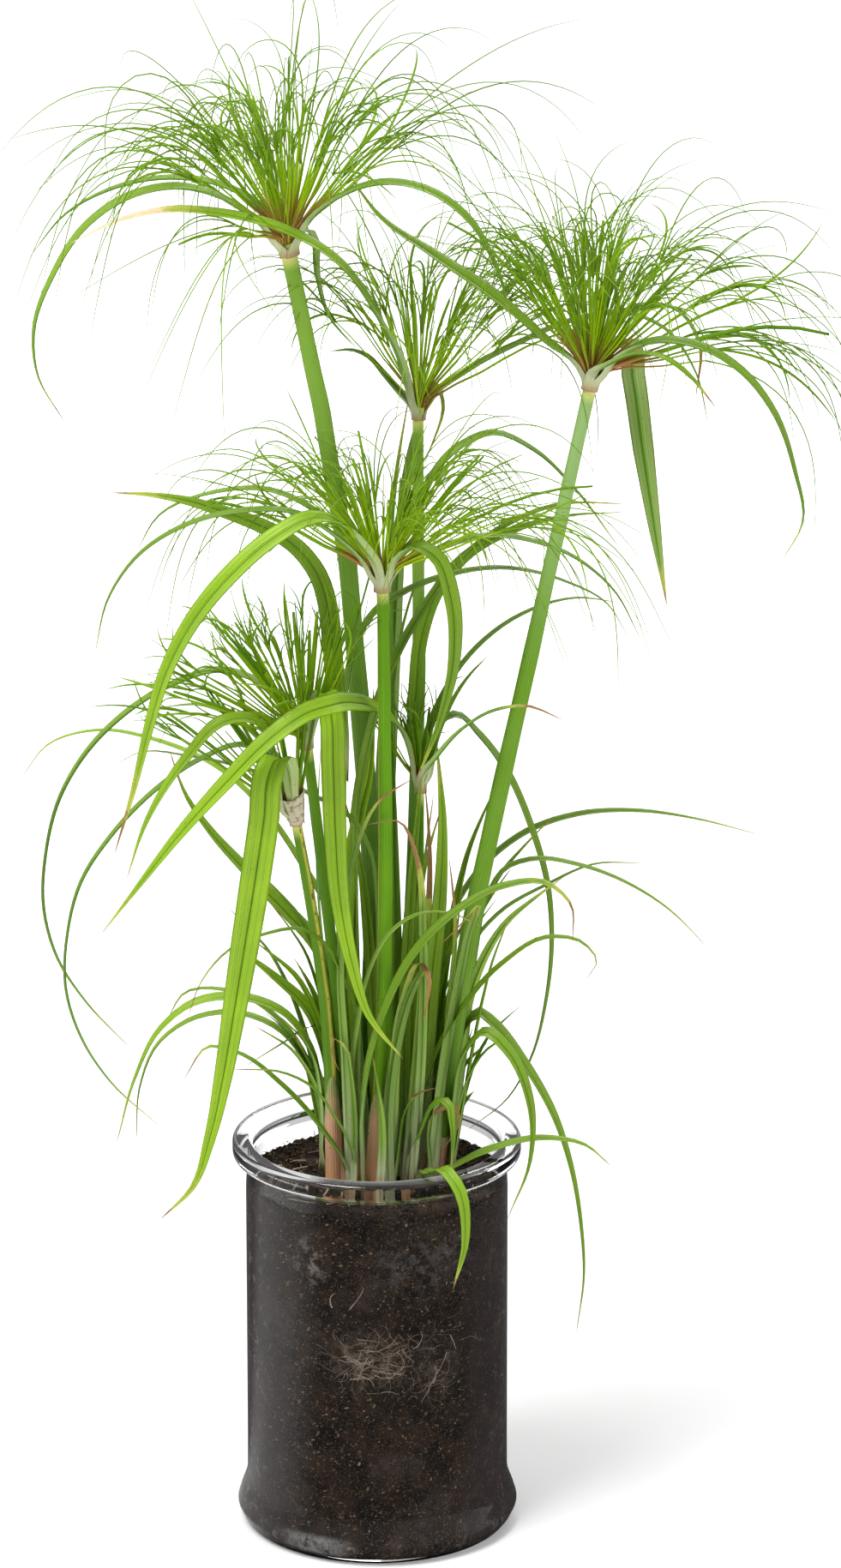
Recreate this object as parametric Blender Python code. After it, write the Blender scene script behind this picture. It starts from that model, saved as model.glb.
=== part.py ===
"""A young papyrus plant growing in a clear glass jar of potting soil.

Metres, +Z up.  The origin is the middle of the jar's flat underside.
The plant leans and spreads mostly sideways, so its routes are given the way a person would
measure them: across and up on an upright plane through the jar's axis, as seen by somebody
standing in front of it, and the depth behind that plane (minus is nearer the viewer).
"""
import bmesh
import bpy
from math import cos, pi, radians, sin, sqrt
from mathutils import Matrix, Vector, noise
from mathutils.bvhtree import BVHTree

MM = 0.001

# --- Driving dimensions, millimetres ---------------------------------------------------------
VIEWER = (20.0, -3240.0, 1412.0)      # eye of the person who measured the routes

JAR_BODY_RADIUS = 60.0
JAR_HEIGHT = 187.0
JAR_WALL = 3.0
JAR_FOOT_RADIUS = 59.8
JAR_FOOT_BEVEL = (3.2, 3.0)           # out and up from the foot's edge
JAR_FLARE_RADIUS = 64.6
JAR_FLARE_HEIGHT = 8.5
JAR_FLARE_BEND = (1.2, 14.0)          # drawn in by, at this height
JAR_FLARE_TOP = 21.0
JAR_NECK_RADIUS = 58.9
JAR_NECK_HEIGHT = 175.5
JAR_NECK_LENGTH = 6.0
JAR_BEAD_RADIUS = 66.0
JAR_FLOOR = 4.2
JAR_CORNER = 6.0                      # round between inner wall and floor
JAR_SIDES = 36
BEAD_ARC = (-75, 180)                 # degrees of the rolled rim that stand free
BEAD_STEPS = 8
CORNER_STEPS = 3

FIT_GAP = 0.35                        # clearance between pieces that touch
SOIL_TOP = 168.0
SOIL_LUMP = 2.2                       # height of the crumbs of the soil's surface
SOIL_WAVES = 0.11                     # crumbs per millimetre
SOIL_EASE = 8.0                       # how far from the plant the crumbs reach full height
SOIL_SIDES = 30
SOIL_RINGS = (1.0, 0.94, 0.84, 0.74, 0.6, 0.0)
CLUMP_CENTRE = (4.0, -2.0)            # where the plant stands on the soil
CLUMP_RADIUS = 38.0

BLADE_KEEL = 0.9                      # thickness at a blade's middle rib
KEEL_THINNING = 0.55                  # share of that thickness lost by the tip
BLADE_RIB = 0.1                       # height of the middle groove over the route
BLADE_FOLD = 0.22                     # rise of the edges over half the width
FACING_BY = 0.3                       # share of its length in which a blade turns to its course
TWIST_BY = 0.4                        # and in which it takes up its twist
BRACT_BASE = 1.25                     # width of a bract's base over its culm's radius
BRACT_ROOM = 1.5                      # from the culm's edge to the middle of a bract's base
BRACT_DROP = 1.0                      # that base lies this far below the culm's top
BRACT_RISE = (3.4, 6.0)               # next point of the route: out from the edge, and up
FULL_WIDTH_FROM = 0.2                 # share of its length where a blade reaches full width
FULL_WIDTH_UNTIL = 0.35               # and where its taper begins
TAPER_POWER = 1.7
SHOOT_CELL = 2.4                      # width of one blade's root in a basal shoot
SHOOT_FOOT = 3.0                      # height of the foot that the blades share
SHOOT_RISE = 7.5                      # how far a blade rises before its route begins

BEND_ROOM = 25.0                      # stations that a full radian of bend earns, as length
LEAST_STATIONS = 7
MOST_STATIONS = 13
STATION_SPACING = 20.0

CULM_SIDES = 6
CULM_STATIONS = 7
CULM_FLAT = 0.93                      # radius of the three flatter sides over the blunt edges
RAY_STATIONS = (0.3, 0.62, 0.86)      # where a ray bundle has a ring, of its length
RAY_RADII = (0.95, 0.75, 0.45)
RAY_CLEARANCE = 0.7                   # room that a ray bundle keeps to other pieces
RAY_CLEAR_FROM = 0.15                 # share of its length by which it has that room
RAY_CHECKS = 60
RAY_REACH = (0.82, 0.3, 0.1)          # share of the length: all rays, level rays, irregular part
RAY_FALL = 0.25                       # share of the sag that upright rays have too
RAY_TURNS = (0, 7, -7, 14, -14, 24, -24, 36, -36, 50, -50)
RAY_RISES = (0.0, 0.3, 0.6)           # shares of the way to upright
RAY_SPREAD = radians(13.0)            # least angle between two bundles of one head
DOME_RADIUS = 0.9                     # of a fan's dome over its culm's radius
DOME_CUT = 0.12                       # of the dome's radius, where its flat base is cut
DOME_FACETS = 72                      # only facets this close to the axis, in degrees, grow rays
GOLDEN_ANGLE = radians(137.508)

# --- Colours ---------------------------------------------------------------------------------
GLASS = (0.90, 0.94, 0.93)
SOIL = (0.035, 0.024, 0.017)
CULM_GREEN = (0.22, 0.38, 0.09)
LEAF_GREEN = (0.13, 0.29, 0.025)
RAY_GREEN = (0.16, 0.30, 0.03)

# --- Culms: top radius, foot radius, foot on the soil (x, y), route from the foot up ---------
CULMS = {
    1: (3.4, 5.4, (-5, 15), [(0, 280, 12), (-5, 362, 8), (-13, 466, 2), (-26, 541, -2), (-38, 602, -5)]),
    2: (2.8, 5.0, (25, -7), [(35, 239, -8), (47, 313, -9), (62, 382, -10), (81, 474, -10), (95, 541, -8)]),
    3: (2.7, 3.9, (-1, -24), [(3, 234, -27), (4, 341, -30), (3, 448, -34)]),
    4: (2.3, 3.0, (-9, -11), [(-16, 239, -13), (-25, 321, -20), (-31, 374, -26)]),
    5: (2.2, 3.3, (-19, -17), [(-22, 239, -24), (-29, 296, -34), (-36, 338, -43)]),
    6: (2.4, 4.0, (12, 16), [(19, 382, 20), (19, 466, 23), (19, 527, 26)]),
    7: (1.6, 2.2, (14, 3), [(19, 280, 1), (20, 353, -2)]),
    8: (1.5, 2.2, (-11, 3), [(-15, 290, 1), (-15, 358, -6)]),
}

# --- Ray fans: number of ray bundles, length, half angle of the fan, lean (x, y), sag --------
UMBELS = {
    1: (24, 112, 60, (-0.16, 0.00), 0.22),
    2: (24, 104, 60, (0.06, 0.00), 0.26),
    3: (20, 98, 64, (-0.05, -0.10), 0.24),
    4: (11, 80, 44, (-0.24, -0.05), 0.06),
    5: (7, 80, 34, (-0.30, 0.00), 0.05),
    6: (12, 108, 44, (0.10, 0.05), 0.24),
    7: (6, 46, 50, (0.05, 0.00), 0.05),
}

# --- Bracts: culm, compass angle of the base, compass angle that the blade faces, width, -----
# --- twist towards the viewer and route (compass: 0 right, 90 back, 180 left, 270 front) -----
BRACTS = {
    "bract_1a": (1, 150, 175, 7.5, 0, [(-52, 624, 2), (-72, 633, 8), (-95, 635, 12), (-122, 628, 14),
                                       (-142, 614, 13), (-152, 600, 11)]),
    "bract_1b": (1, 212, 190, 9.0, 4, [(-58, 622, -14), (-87, 631, -22), (-113, 624, -26),
                                       (-133, 606, -28), (-147, 578, -28), (-151, 552, -27),
                                       (-137, 523, -24)]),
    "bract_1c": (1, 328, 340, 8.0, 6, [(-26, 618, -14), (-12, 629, -20), (9, 633, -24), (32, 625, -28),
                                       (46, 609, -30), (55, 590, -31), (61, 567, -31)]),
    "bract_1d": (1, 50, 50, 7.0, 30, [(-29, 612, 4), (-27, 597, 9), (-24, 583, 10), (-19, 570, 9),
                                      (-8, 558, 8)]),
    "bract_2a": (2, 195, 190, 10.0, 24, [(80, 557, -14), (62, 573, -14), (39, 592, -12), (14, 608, -6),
                                         (-4, 624, 0), (-12, 638, 3)]),
    "bract_2b": (2, 325, 350, 9.0, 5, [(112, 558, -16), (133, 561, -24), (156, 552, -30), (176, 529, -34),
                                       (187, 498, -36), (190, 478, -36), (181, 460, -35)]),
    "bract_2c": (2, 265, 320, 6.0, 0, [(103, 551, -22), (118, 556, -32), (134, 550, -40),
                                       (151, 531, -45)]),
    "bract_2d": (2, 25, 80, 9.5, 0, [(103, 556, 2), (110, 562, 7), (114, 545, 11), (119, 510, 11),
                                     (124, 477, 10), (130, 440, 9)]),
    "bract_2e": (2, 100, 30, 7.0, 4, [(100, 560, 14), (110, 574, 26), (127, 578, 32), (138, 571, 35),
                                      (144, 555, 36), (142, 536, 34)]),
    "bract_3a": (3, 140, 175, 6.0, 4, [(-10, 466, -25), (-30, 486, -20), (-48, 493, -18), (-67, 493, -17),
                                       (-89, 486, -16), (-102, 476, -16), (-107, 464, -16)]),
    "bract_3b": (3, 202, 190, 6.0, 4, [(-10, 465, -45), (-32, 481, -51), (-51, 484, -53), (-74, 480, -52),
                                       (-94, 472, -50), (-110, 458, -48), (-121, 439, -46),
                                       (-126, 416, -45)]),
    "bract_3c": (3, 262, 205, 9.0, 28, [(-4, 464, -53), (-13, 476, -60), (-28, 480, -69), (-45, 471, -74),
                                        (-66, 452, -79), (-86, 425, -82), (-98, 396, -83),
                                        (-107, 360, -82), (-118, 323, -80)]),
    "bract_3d": (3, 320, 330, 8.0, 22, [(10, 462, -44), (18, 467, -50), (26, 463, -54), (32, 450, -56),
                                        (35, 427, -57), (33, 402, -56), (27, 382, -54), (18, 357, -52)]),
    "bract_3e": (3, 82, 10, 8.0, 6, [(13, 473, -14), (27, 502, -7), (40, 514, -4), (54, 519, -1),
                                     (71, 511, 1), (84, 499, 2), (97, 483, 2), (109, 466, 1)]),
    "bract_3f": (3, 20, 5, 6.0, 4, [(14, 459, -30), (27, 465, -25), (45, 471, -13), (62, 471, 0),
                                    (80, 466, 7), (96, 457, 11), (109, 443, 12), (119, 423, 12)]),
    "bract_4a": (4, 285, 270, 9.5, 0, [(-26, 392, -33), (-23, 399, -39), (-20, 386, -46), (-19, 350, -47),
                                       (-17, 306, -48), (-11, 270, -49), (-3, 244, -51),
                                       (12, 224, -53)]),
    "bract_4b": (4, 165, 180, 8.0, 0, [(-46, 397, -22), (-62, 408, -20), (-80, 407, -17), (-102, 396, -14),
                                       (-124, 378, -11), (-142, 350, -9), (-150, 316, -8),
                                       (-149, 288, -8), (-138, 260, -9), (-112, 229, -12)]),
    "bract_5a": (5, 268, 265, 12.0, 0, [(-39, 359, -54), (-43, 368, -60), (-48, 361, -66),
                                        (-51, 335, -68), (-57, 295, -67), (-66, 239, -66),
                                        (-73, 200, -67), (-83, 164, -70), (-99, 146, -73)]),
    "bract_5b": (5, 142, 180, 6.5, 0, [(-50, 370, -34), (-66, 373, -33), (-90, 360, -33),
                                       (-112, 340, -32), (-132, 312, -32), (-140, 284, -32),
                                       (-140, 252, -32), (-126, 219, -33), (-100, 192, -35)]),
    "bract_5c": (5, 60, 160, 6.0, 0, [(-40, 360, -32), (-52, 376, -24), (-66, 388, -22), (-79, 393, -21),
                                      (-97, 392, -20)]),
    "bract_5d": (5, 207, 190, 8.0, 20, [(-48, 376, -52), (-58, 387, -54), (-70, 384, -58),
                                        (-84, 369, -60), (-99, 346, -60), (-109, 325, -59),
                                        (-113, 310, -58)]),
    "bract_6a": (6, 235, 200, 9.5, 22, [(11, 552, 13), (0, 575, 3), (-16, 597, -12), (-31, 607, -21),
                                        (-52, 616, -26), (-86, 621, -31), (-110, 617, -35),
                                        (-134, 606, -39)]),
    "bract_6b": (6, 20, 0, 7.0, 0, [(33, 541, 34), (48, 553, 40), (72, 564, 46), (95, 573, 50),
                                    (112, 574, 51), (127, 568, 51), (141, 549, 49), (148, 522, 47)]),
    "bract_6d": (6, 150, 180, 7.0, 6, [(8, 540, 26), (-1, 552, 22), (-9, 557, 19), (-20, 557, 16)]),
    "bract_7a": (7, 208, 200, 9.5, 34, [(15, 372, -9), (8, 386, -17), (-2, 392, -24), (-12, 394, -40),
                                        (-22, 392, -60), (-42, 382, -71), (-81, 341, -78),
                                        (-112, 301, -82), (-124, 285, -82)]),
    "bract_7b": (7, 25, 0, 7.5, 16, [(27, 378, 5), (34, 388, 9), (44, 381, 16), (57, 364, 22),
                                    (70, 333, 25), (78, 300, 25), (78, 262, 23), (70, 224, 19),
                                    (59, 204, 14), (41, 189, 9)]),
    "bract_7c": (7, 85, 10, 6.0, 0, [(26, 388, 14), (40, 413, 20), (56, 430, 22), (76, 439, 23),
                                     (96, 444, 23), (109, 441, 22)]),
    "bract_7d": (7, 330, 350, 6.0, 20, [(28, 378, -9), (38, 401, -16), (50, 416, -22)]),
    "bract_7e": (7, 272, 330, 6.0, 4, [(24, 364, -15), (39, 382, -25), (55, 391, -34), (70, 392, -38),
                                       (84, 386, -40)]),
    "bract_7f": (7, 145, 65, 6.0, 8, [(16, 380, 5), (18, 400, 9), (22, 432, 14), (34, 456, 18), (52, 470, 21),
                                      (79, 480, 24), (110, 483, 25)]),
    "bract_8a": (8, 225, 225, 9.5, 34, [(-18, 384, -16), (-20, 420, -19), (-24, 448, -21), (-31, 462, -23),
                                        (-45, 473, -26), (-68, 483, -30), (-92, 490, -33),
                                        (-117, 492, -36)]),
    "bract_8b": (8, 45, 10, 6.5, 6, [(-14, 386, -2), (-11, 412, -5), (-4, 431, -13), (7, 442, -18),
                                     (28, 452, -15), (55, 457, -2), (84, 451, 9), (104, 440, 10),
                                     (114, 423, 9)]),
}

# --- Basal shoots: foot on the soil (x, y), compass angle of the row of blades, blades -------
# --- (width, compass angle that the blade faces, twist, route) -------------------------------
SHOOTS = {
    "basal_shoot_1": ((-26, -4), 90, [
        (8.0, 185, 8, [(-25, 192, -14), (-30, 228, -16), (-44, 247, -17), (-60, 253, -19),
                       (-82, 251, -21), (-99, 237, -21), (-111, 212, -21), (-119, 183, -21)]),
        (6.0, 180, 4, [(-26, 200, -3), (-35, 227, -3), (-48, 240, -1), (-66, 246, 1), (-86, 242, 3),
                       (-101, 229, 3), (-109, 206, 3), (-110, 184, 3)]),
        (6.0, 180, 6, [(-26, 200, 6), (-33, 226, 9), (-46, 244, 12), (-62, 255, 14), (-79, 258, 16),
                       (-91, 253, 16), (-96, 241, 16)]),
    ]),
    "basal_shoot_2": ((-18, 13), 60, [
        (9.0, 185, 32, [(-21, 200, 5), (-27, 240, 5), (-40, 256, 5), (-54, 271, 4), (-66, 280, 3)]),
        (10.0, 185, 30, [(-18, 205, 17), (-22, 264, 22), (-32, 284, 26), (-50, 304, 28), (-70, 327, 29),
                         (-84, 346, 28), (-93, 372, 27)]),
        (7.0, 180, 8, [(-16, 205, 25), (-22, 292, 36), (-38, 323, 38), (-60, 354, 40), (-88, 372, 41),
                       (-122, 381, 41), (-148, 374, 41), (-160, 358, 40)]),
    ]),
    "basal_shoot_3": ((-9, -30), 350, [
        (5.5, 190, 10, [(-18, 180, -38), (-32, 197, -43), (-46, 214, -47), (-62, 226, -49),
                        (-76, 230, -50), (-88, 214, -50)]),
        (4.0, 190, 0, [(-12, 182, -41), (-24, 203, -50), (-38, 216, -54), (-66, 219, -55)]),
        (4.0, 185, 10, [(-8, 190, -31), (-9, 245, -31), (-15, 262, -34), (-28, 284, -42),
                        (-42, 285, -44), (-60, 281, -44), (-75, 268, -43), (-84, 252, -42),
                        (-86, 243, -42)]),
        (7.5, 350, 26, [(-7, 185, -38), (-5, 212, -43), (0, 234, -45), (8, 257, -45), (19, 277, -43),
                        (34, 293, -41), (50, 304, -40), (66, 309, -40), (78, 308, -40), (88, 298, -40),
                        (89, 280, -40)]),
    ]),
    "basal_shoot_4": ((8, -27), 20, [
        (6.0, 290, 20, [(8, 205, -33), (10, 238, -35), (15, 260, -35), (20, 270, -38), (24, 262, -45),
                        (22, 244, -49)]),
        (3.6, 350, 10, [(10, 180, -28), (13, 199, -30), (19, 207, -32), (28, 210, -33)]),
    ]),
    "basal_shoot_5": ((16, -15), 20, [
        (6.0, 340, 20, [(19, 186, -28), (25, 198, -34), (31, 204, -37), (34, 196, -41), (33, 180, -42),
                        (34, 168, -42)]),
        (6.5, 350, 14, [(19, 198, -16), (24, 218, -19), (33, 238, -22), (45, 256, -25), (60, 272, -28),
                        (80, 283, -31), (95, 279, -32), (100, 270, -32), (94, 261, -32)]),
    ]),
    "basal_shoot_6": ((22, -27), 350, [
        (5.5, 300, 10, [(25, 168, -42), (30, 170, -53), (36, 164, -60), (40, 148, -63), (40, 127, -63),
                        (35, 111, -62)]),
        (6.0, 350, 10, [(32, 170, -26), (48, 178, -25), (68, 184, -24), (85, 185, -24), (101, 179, -24),
                        (107, 172, -24)]),
    ]),
    "basal_shoot_7": ((35, -2), 80, [
        (7.0, 340, 16, [(36, 190, -13), (37, 214, -20), (42, 230, -24), (49, 237, -28), (58, 230, -33),
                        (67, 213, -36), (71, 190, -37), (68, 166, -37), (60, 146, -35)]),
        (7.0, 0, 20, [(36, 195, -3), (38, 228, -1), (46, 246, 0), (60, 231, 0), (74, 210, -2), (85, 184, -4),
                      (92, 152, -5), (95, 120, -5), (92, 90, -5)]),
        (6.0, 0, 6, [(37, 195, 6), (42, 240, 9), (46, 280, 9), (52, 306, 9), (63, 318, 8), (80, 319, 8),
                     (104, 313, 8), (130, 298, 8), (150, 278, 7)]),
    ]),
    "basal_shoot_8": ((25, 16), 20, [
        (6.0, 0, 14, [(28, 235, 26), (30, 280, 31), (44, 310, 35), (62, 329, 38), (86, 340, 40),
                      (114, 343, 40), (145, 339, 39), (172, 332, 38)]),
        (5.0, 0, 4, [(37, 230, 23), (42, 275, 30), (60, 298, 34), (80, 309, 35), (100, 318, 35),
                     (122, 318, 34)]),
    ]),
    "basal_shoot_9": ((1, -4), 160, [
        (6.5, 340, 40, [(6, 200, -4), (6, 280, -5), (6, 340, -5), (8, 402, -3), (16, 444, 0), (29, 476, 4)]),
        (6.0, 190, 12, [(0, 195, -10), (0, 230, -14), (0, 300, -18), (-5, 330, -18), (-15, 341, -15),
                        (-40, 356, -10), (-60, 363, -8), (-80, 368, -7), (-100, 371, -6),
                        (-112, 369, -6), (-117, 365, -6)]),
        (8.5, 340, 44, [(-4, 195, -3), (-7, 230, -5), (-9, 306, -8), (-8, 345, -9), (0, 388, -11),
                        (9, 414, -11), (27, 447, -6), (45, 467, 4), (62, 479, 13), (84, 487, 16),
                        (110, 487, 16)]),
    ]),
    "basal_shoot_10": ((2, 28), 0, [
        (9.5, 300, 4, [(-4, 195, 33), (-2, 250, 36), (3, 320, 38), (8, 420, 44), (13, 490, 48),
                       (20, 525, 49), (27, 542, 42), (30, 530, 30), (26, 516, 27), (22, 506, 26)]),
        (8.5, 330, 30, [(9, 200, 29), (16, 260, 30), (22, 320, 35), (26, 352, 38)]),
    ]),
}


# --- Places and routes -----------------------------------------------------------------------
def seen(across, up, depth):
    """World point that the viewer sees at (across, up), moved along the sight line to a depth."""
    eye = Vector(VIEWER)
    on_plane = Vector((across, 0.0, up))
    return eye + (on_plane - eye) * ((depth - eye.y) / -eye.y)


def smooth_route(points, count):
    """Stations along a smooth curve through the given points, closer together in its bends."""
    padded = [points[0] * 2 - points[1]] + points + [points[-1] * 2 - points[-2]]
    fine = []
    for before, start, end, after in zip(padded, padded[1:], padded[2:], padded[3:]):
        for step in range(12):
            t = step / 12
            fine.append(0.5 * (2 * start + (end - before) * t
                               + (2 * before - 5 * start + 4 * end - after) * t ** 2
                               + (3 * start - before - 3 * end + after) * t ** 3))
    fine.append(points[-1])
    steps = [b - a for a, b in zip(fine, fine[1:])]
    room = [0.0]
    for last_step, step in zip(steps[:1] + steps, steps):
        room.append(room[-1] + step.length + BEND_ROOM * last_step.angle(step))
    stations = []
    index = 0
    for k in range(count):
        target = room[-1] * k / (count - 1)
        while index < len(fine) - 2 and room[index + 1] < target:
            index += 1
        span = room[index + 1] - room[index]
        stations.append(fine[index].lerp(fine[index + 1], (target - room[index]) / span))
    return stations


def shares(stations):
    """How far along the whole length each station lies, from 0 to 1."""
    lengths = [0.0]
    for a, b in zip(stations, stations[1:]):
        lengths.append(lengths[-1] + (b - a).length)
    return [length / lengths[-1] for length in lengths]


def tangents(stations):
    """Unit direction of travel at each station."""
    last = len(stations) - 1
    return [(stations[min(i + 1, last)] - stations[max(i - 1, 0)]).normalized()
            for i in range(last + 1)]


# --- Objects and materials -------------------------------------------------------------------
def plain_material(name, colour, roughness, transmission=0.0):
    material = bpy.data.materials.new(name)
    material.use_nodes = True
    shader = material.node_tree.nodes["Principled BSDF"]
    shader.inputs["Base Color"].default_value = (*colour, 1.0)
    shader.inputs["Roughness"].default_value = roughness
    shader.inputs["Transmission Weight"].default_value = transmission
    material.diffuse_color = (*colour, 1.0)
    return material


def finish_object(name, bm, colour, roughness=0.45, transmission=0.0):
    """Turn a bmesh in millimetres into a named object in metres with its own material."""
    bmesh.ops.recalc_face_normals(bm, faces=bm.faces)
    if bm.calc_volume(signed=True) < 0.0:
        bmesh.ops.reverse_faces(bm, faces=bm.faces)
    bmesh.ops.scale(bm, vec=(MM, MM, MM), verts=bm.verts)
    mesh = bpy.data.meshes.new(name)
    bm.to_mesh(mesh)
    bm.free()
    mesh.shade_smooth()
    mesh.set_sharp_from_angle(angle=radians(35))
    mesh.materials.append(plain_material(name, colour, roughness, transmission))
    obj = bpy.data.objects.new(name, mesh)
    bpy.context.collection.objects.link(obj)
    obj.parent = bpy.data.objects["potted_papyrus"]
    return obj


# --- Jar and soil ----------------------------------------------------------------------------
def arc(centre, radius, start, end, steps):
    """Points (radius, height) on a round stretch of a turned outline."""
    return [(centre[0] + radius * cos(radians(start + (end - start) * k / steps)),
             centre[1] + radius * sin(radians(start + (end - start) * k / steps)))
            for k in range(steps + 1)]


def turned_body(name, outline, sides, colour, roughness, transmission=0.0):
    """Solid of revolution from an outline that starts and ends on the axis."""
    bm = bmesh.new()
    inner = [bm.verts.new((r, 0.0, z)) for r, z in outline]
    edges = [bm.edges.new(pair) for pair in zip(inner, inner[1:])]
    bmesh.ops.spin(bm, geom=inner + edges, cent=(0, 0, 0), axis=(0, 0, 1), angle=2 * pi,
                   steps=sides, use_merge=True)
    bmesh.ops.remove_doubles(bm, verts=bm.verts, dist=0.001)
    return finish_object(name, bm, colour, roughness, transmission)


def make_jar():
    opening = JAR_BODY_RADIUS - JAR_WALL
    bead_radius = (JAR_BEAD_RADIUS - opening) / 2
    bead_centre = (opening + bead_radius, JAR_HEIGHT - bead_radius)
    outline = [(0.0, 0.0), (JAR_FOOT_RADIUS, 0.0)]
    outline += [(JAR_FOOT_RADIUS + JAR_FOOT_BEVEL[0], JAR_FOOT_BEVEL[1])]
    outline += [(JAR_FLARE_RADIUS, JAR_FLARE_HEIGHT)]
    outline += [(JAR_FLARE_RADIUS - JAR_FLARE_BEND[0], JAR_FLARE_BEND[1])]
    outline += [(JAR_BODY_RADIUS, JAR_FLARE_TOP)]
    outline += [(JAR_BODY_RADIUS, JAR_NECK_HEIGHT - JAR_NECK_LENGTH)]
    outline += [(JAR_NECK_RADIUS, JAR_NECK_HEIGHT)]
    outline += arc(bead_centre, bead_radius, *BEAD_ARC, BEAD_STEPS)
    corner = (opening - JAR_CORNER, JAR_FLOOR + JAR_CORNER)
    outline += arc(corner, JAR_CORNER, 0, -90, CORNER_STEPS)
    outline += [(0.0, JAR_FLOOR)]
    return turned_body("glass_jar", outline, JAR_SIDES, GLASS, 0.03, 1.0)


def soil_height(x, y):
    """Height of the soil: crumbly by the glass, trodden flat where the plant stands."""
    away = sqrt((x - CLUMP_CENTRE[0]) ** 2 + (y - CLUMP_CENTRE[1]) ** 2) - CLUMP_RADIUS
    rough = min(max(away / SOIL_EASE, 0.0), 1.0)
    lump = noise.noise(Vector((x * SOIL_WAVES, y * SOIL_WAVES, SOIL_LUMP)))
    return SOIL_TOP + rough * SOIL_LUMP * lump


def make_soil():
    radius = JAR_BODY_RADIUS - JAR_WALL - FIT_GAP
    corner = (radius - JAR_CORNER, JAR_FLOOR + FIT_GAP + JAR_CORNER)
    outline = [(0.0, JAR_FLOOR + FIT_GAP)] + arc(corner, JAR_CORNER, -90, 0, CORNER_STEPS)
    outline += [(radius * share, SOIL_TOP) for share in SOIL_RINGS]
    soil = turned_body("soil", outline, SOIL_SIDES, SOIL, 0.95)
    for vertex in soil.data.vertices:
        if vertex.co.z > (SOIL_TOP - 1.0) * MM:
            vertex.co.z = soil_height(vertex.co.x / MM, vertex.co.y / MM) * MM
    return soil


# --- Culms -----------------------------------------------------------------------------------
def culm_stations(number):
    _, _, foot, route = CULMS[number]
    start = Vector((foot[0], foot[1], SOIL_TOP + FIT_GAP))
    return smooth_route([start] + [seen(*point) for point in route], CULM_STATIONS)


def make_culm(number):
    """Leafless stem: a bluntly three-sided rod that thins towards its head."""
    top_radius, foot_radius = CULMS[number][:2]
    stations = culm_stations(number)
    bm = bmesh.new()
    rings = []
    for k, (place, along) in enumerate(zip(stations, tangents(stations))):
        radius = foot_radius + (top_radius - foot_radius) * k / (CULM_STATIONS - 1)
        if k == 0:
            along = Vector((0, 0, 1))
        side = Vector((1, 0, 0)).cross(along).normalized()
        front = along.cross(side)
        ring = []
        for corner in range(CULM_SIDES):
            angle = 2 * pi * (corner + 0.5) / CULM_SIDES
            reach = radius * (1.0 if corner % 2 else CULM_FLAT)
            ring.append(bm.verts.new(place + (front * cos(angle) + side * sin(angle)) * reach))
        rings.append(ring)
    join_rings(bm, rings)
    bm.faces.new(rings[0])
    bm.faces.new(rings[-1])
    return finish_object(f"culm_{number}", bm, CULM_GREEN)


def join_rings(bm, rings):
    """Skin a row of rings that have the same number of corners."""
    for low, high in zip(rings, rings[1:]):
        for k in range(len(low)):
            after = (k + 1) % len(low)
            bm.faces.new((low[k], low[after], high[after], high[k]))


# --- Leaf blades -----------------------------------------------------------------------------
def compass(angle):
    """Level direction: 0 right, 90 away from the viewer, 180 left, 270 towards the viewer."""
    return Vector((cos(radians(angle)), sin(radians(angle)), 0.0))


def ease(share):
    """Soft start and end between 0 and 1."""
    share = min(max(share, 0.0), 1.0)
    return share * share * (3 - 2 * share)


def blade_frames(stations, base_out, faced, twist):
    """Across and upper-face directions along a blade.

    The blade leaves its base turned outwards, comes round to the direction it faces, and the
    twist then tips its upper face towards the viewer.
    """
    hand = 1.0 if faced.x >= 0.0 else -1.0
    frames = []
    for share, along in zip(shares(stations), tangents(stations)):
        heading = base_out.lerp(faced, ease(share / FACING_BY)).normalized()
        across = Vector((0, 0, 1)).cross(heading)
        turn = Matrix.Rotation(hand * radians(twist) * ease(share / TWIST_BY), 3, along)
        wide = turn @ (across - along * across.dot(along)).normalized()
        frames.append((wide, along.cross(wide)))
    return frames


def blade_width(share, base, width):
    """Width at a share of the length: swells from the base, long fine point."""
    taper = max(share - FULL_WIDTH_UNTIL, 0.0) / (1.0 - FULL_WIDTH_UNTIL)
    return (base + (width - base) * ease(share / FULL_WIDTH_FROM)) * (1.0 - taper ** TAPER_POWER)


def blade_rings(bm, stations, frames, base, width):
    """Four-cornered rings (edge, rib, edge, keel) of a blade, all but its point."""
    rings = []
    for share, place, (wide, upper) in zip(shares(stations), stations[:-1], frames):
        half = blade_width(share, base, width) / 2
        keel = BLADE_KEEL * (1.0 - KEEL_THINNING * share)
        lift = upper * (half * BLADE_FOLD)
        corners = [lift - wide * half, upper * BLADE_RIB, lift + wide * half, upper * -keel]
        rings.append([bm.verts.new(place + corner) for corner in corners])
    return rings


def skin_blade(bm, rings):
    """Skin the rings of a blade with triangles that are split alike on both of its faces.

    Every split runs from an edge corner (first and third) to the next ring's rib or keel, so
    that the two faces stay side by side where the blade twists.
    """
    for low, high in zip(rings, rings[1:]):
        for k in range(len(low)):
            after = (k + 1) % len(low)
            if k % 2:
                bm.faces.new((low[k], low[after], high[k]))
                bm.faces.new((low[after], high[after], high[k]))
            else:
                bm.faces.new((low[k], low[after], high[after]))
                bm.faces.new((low[k], high[after], high[k]))


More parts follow.
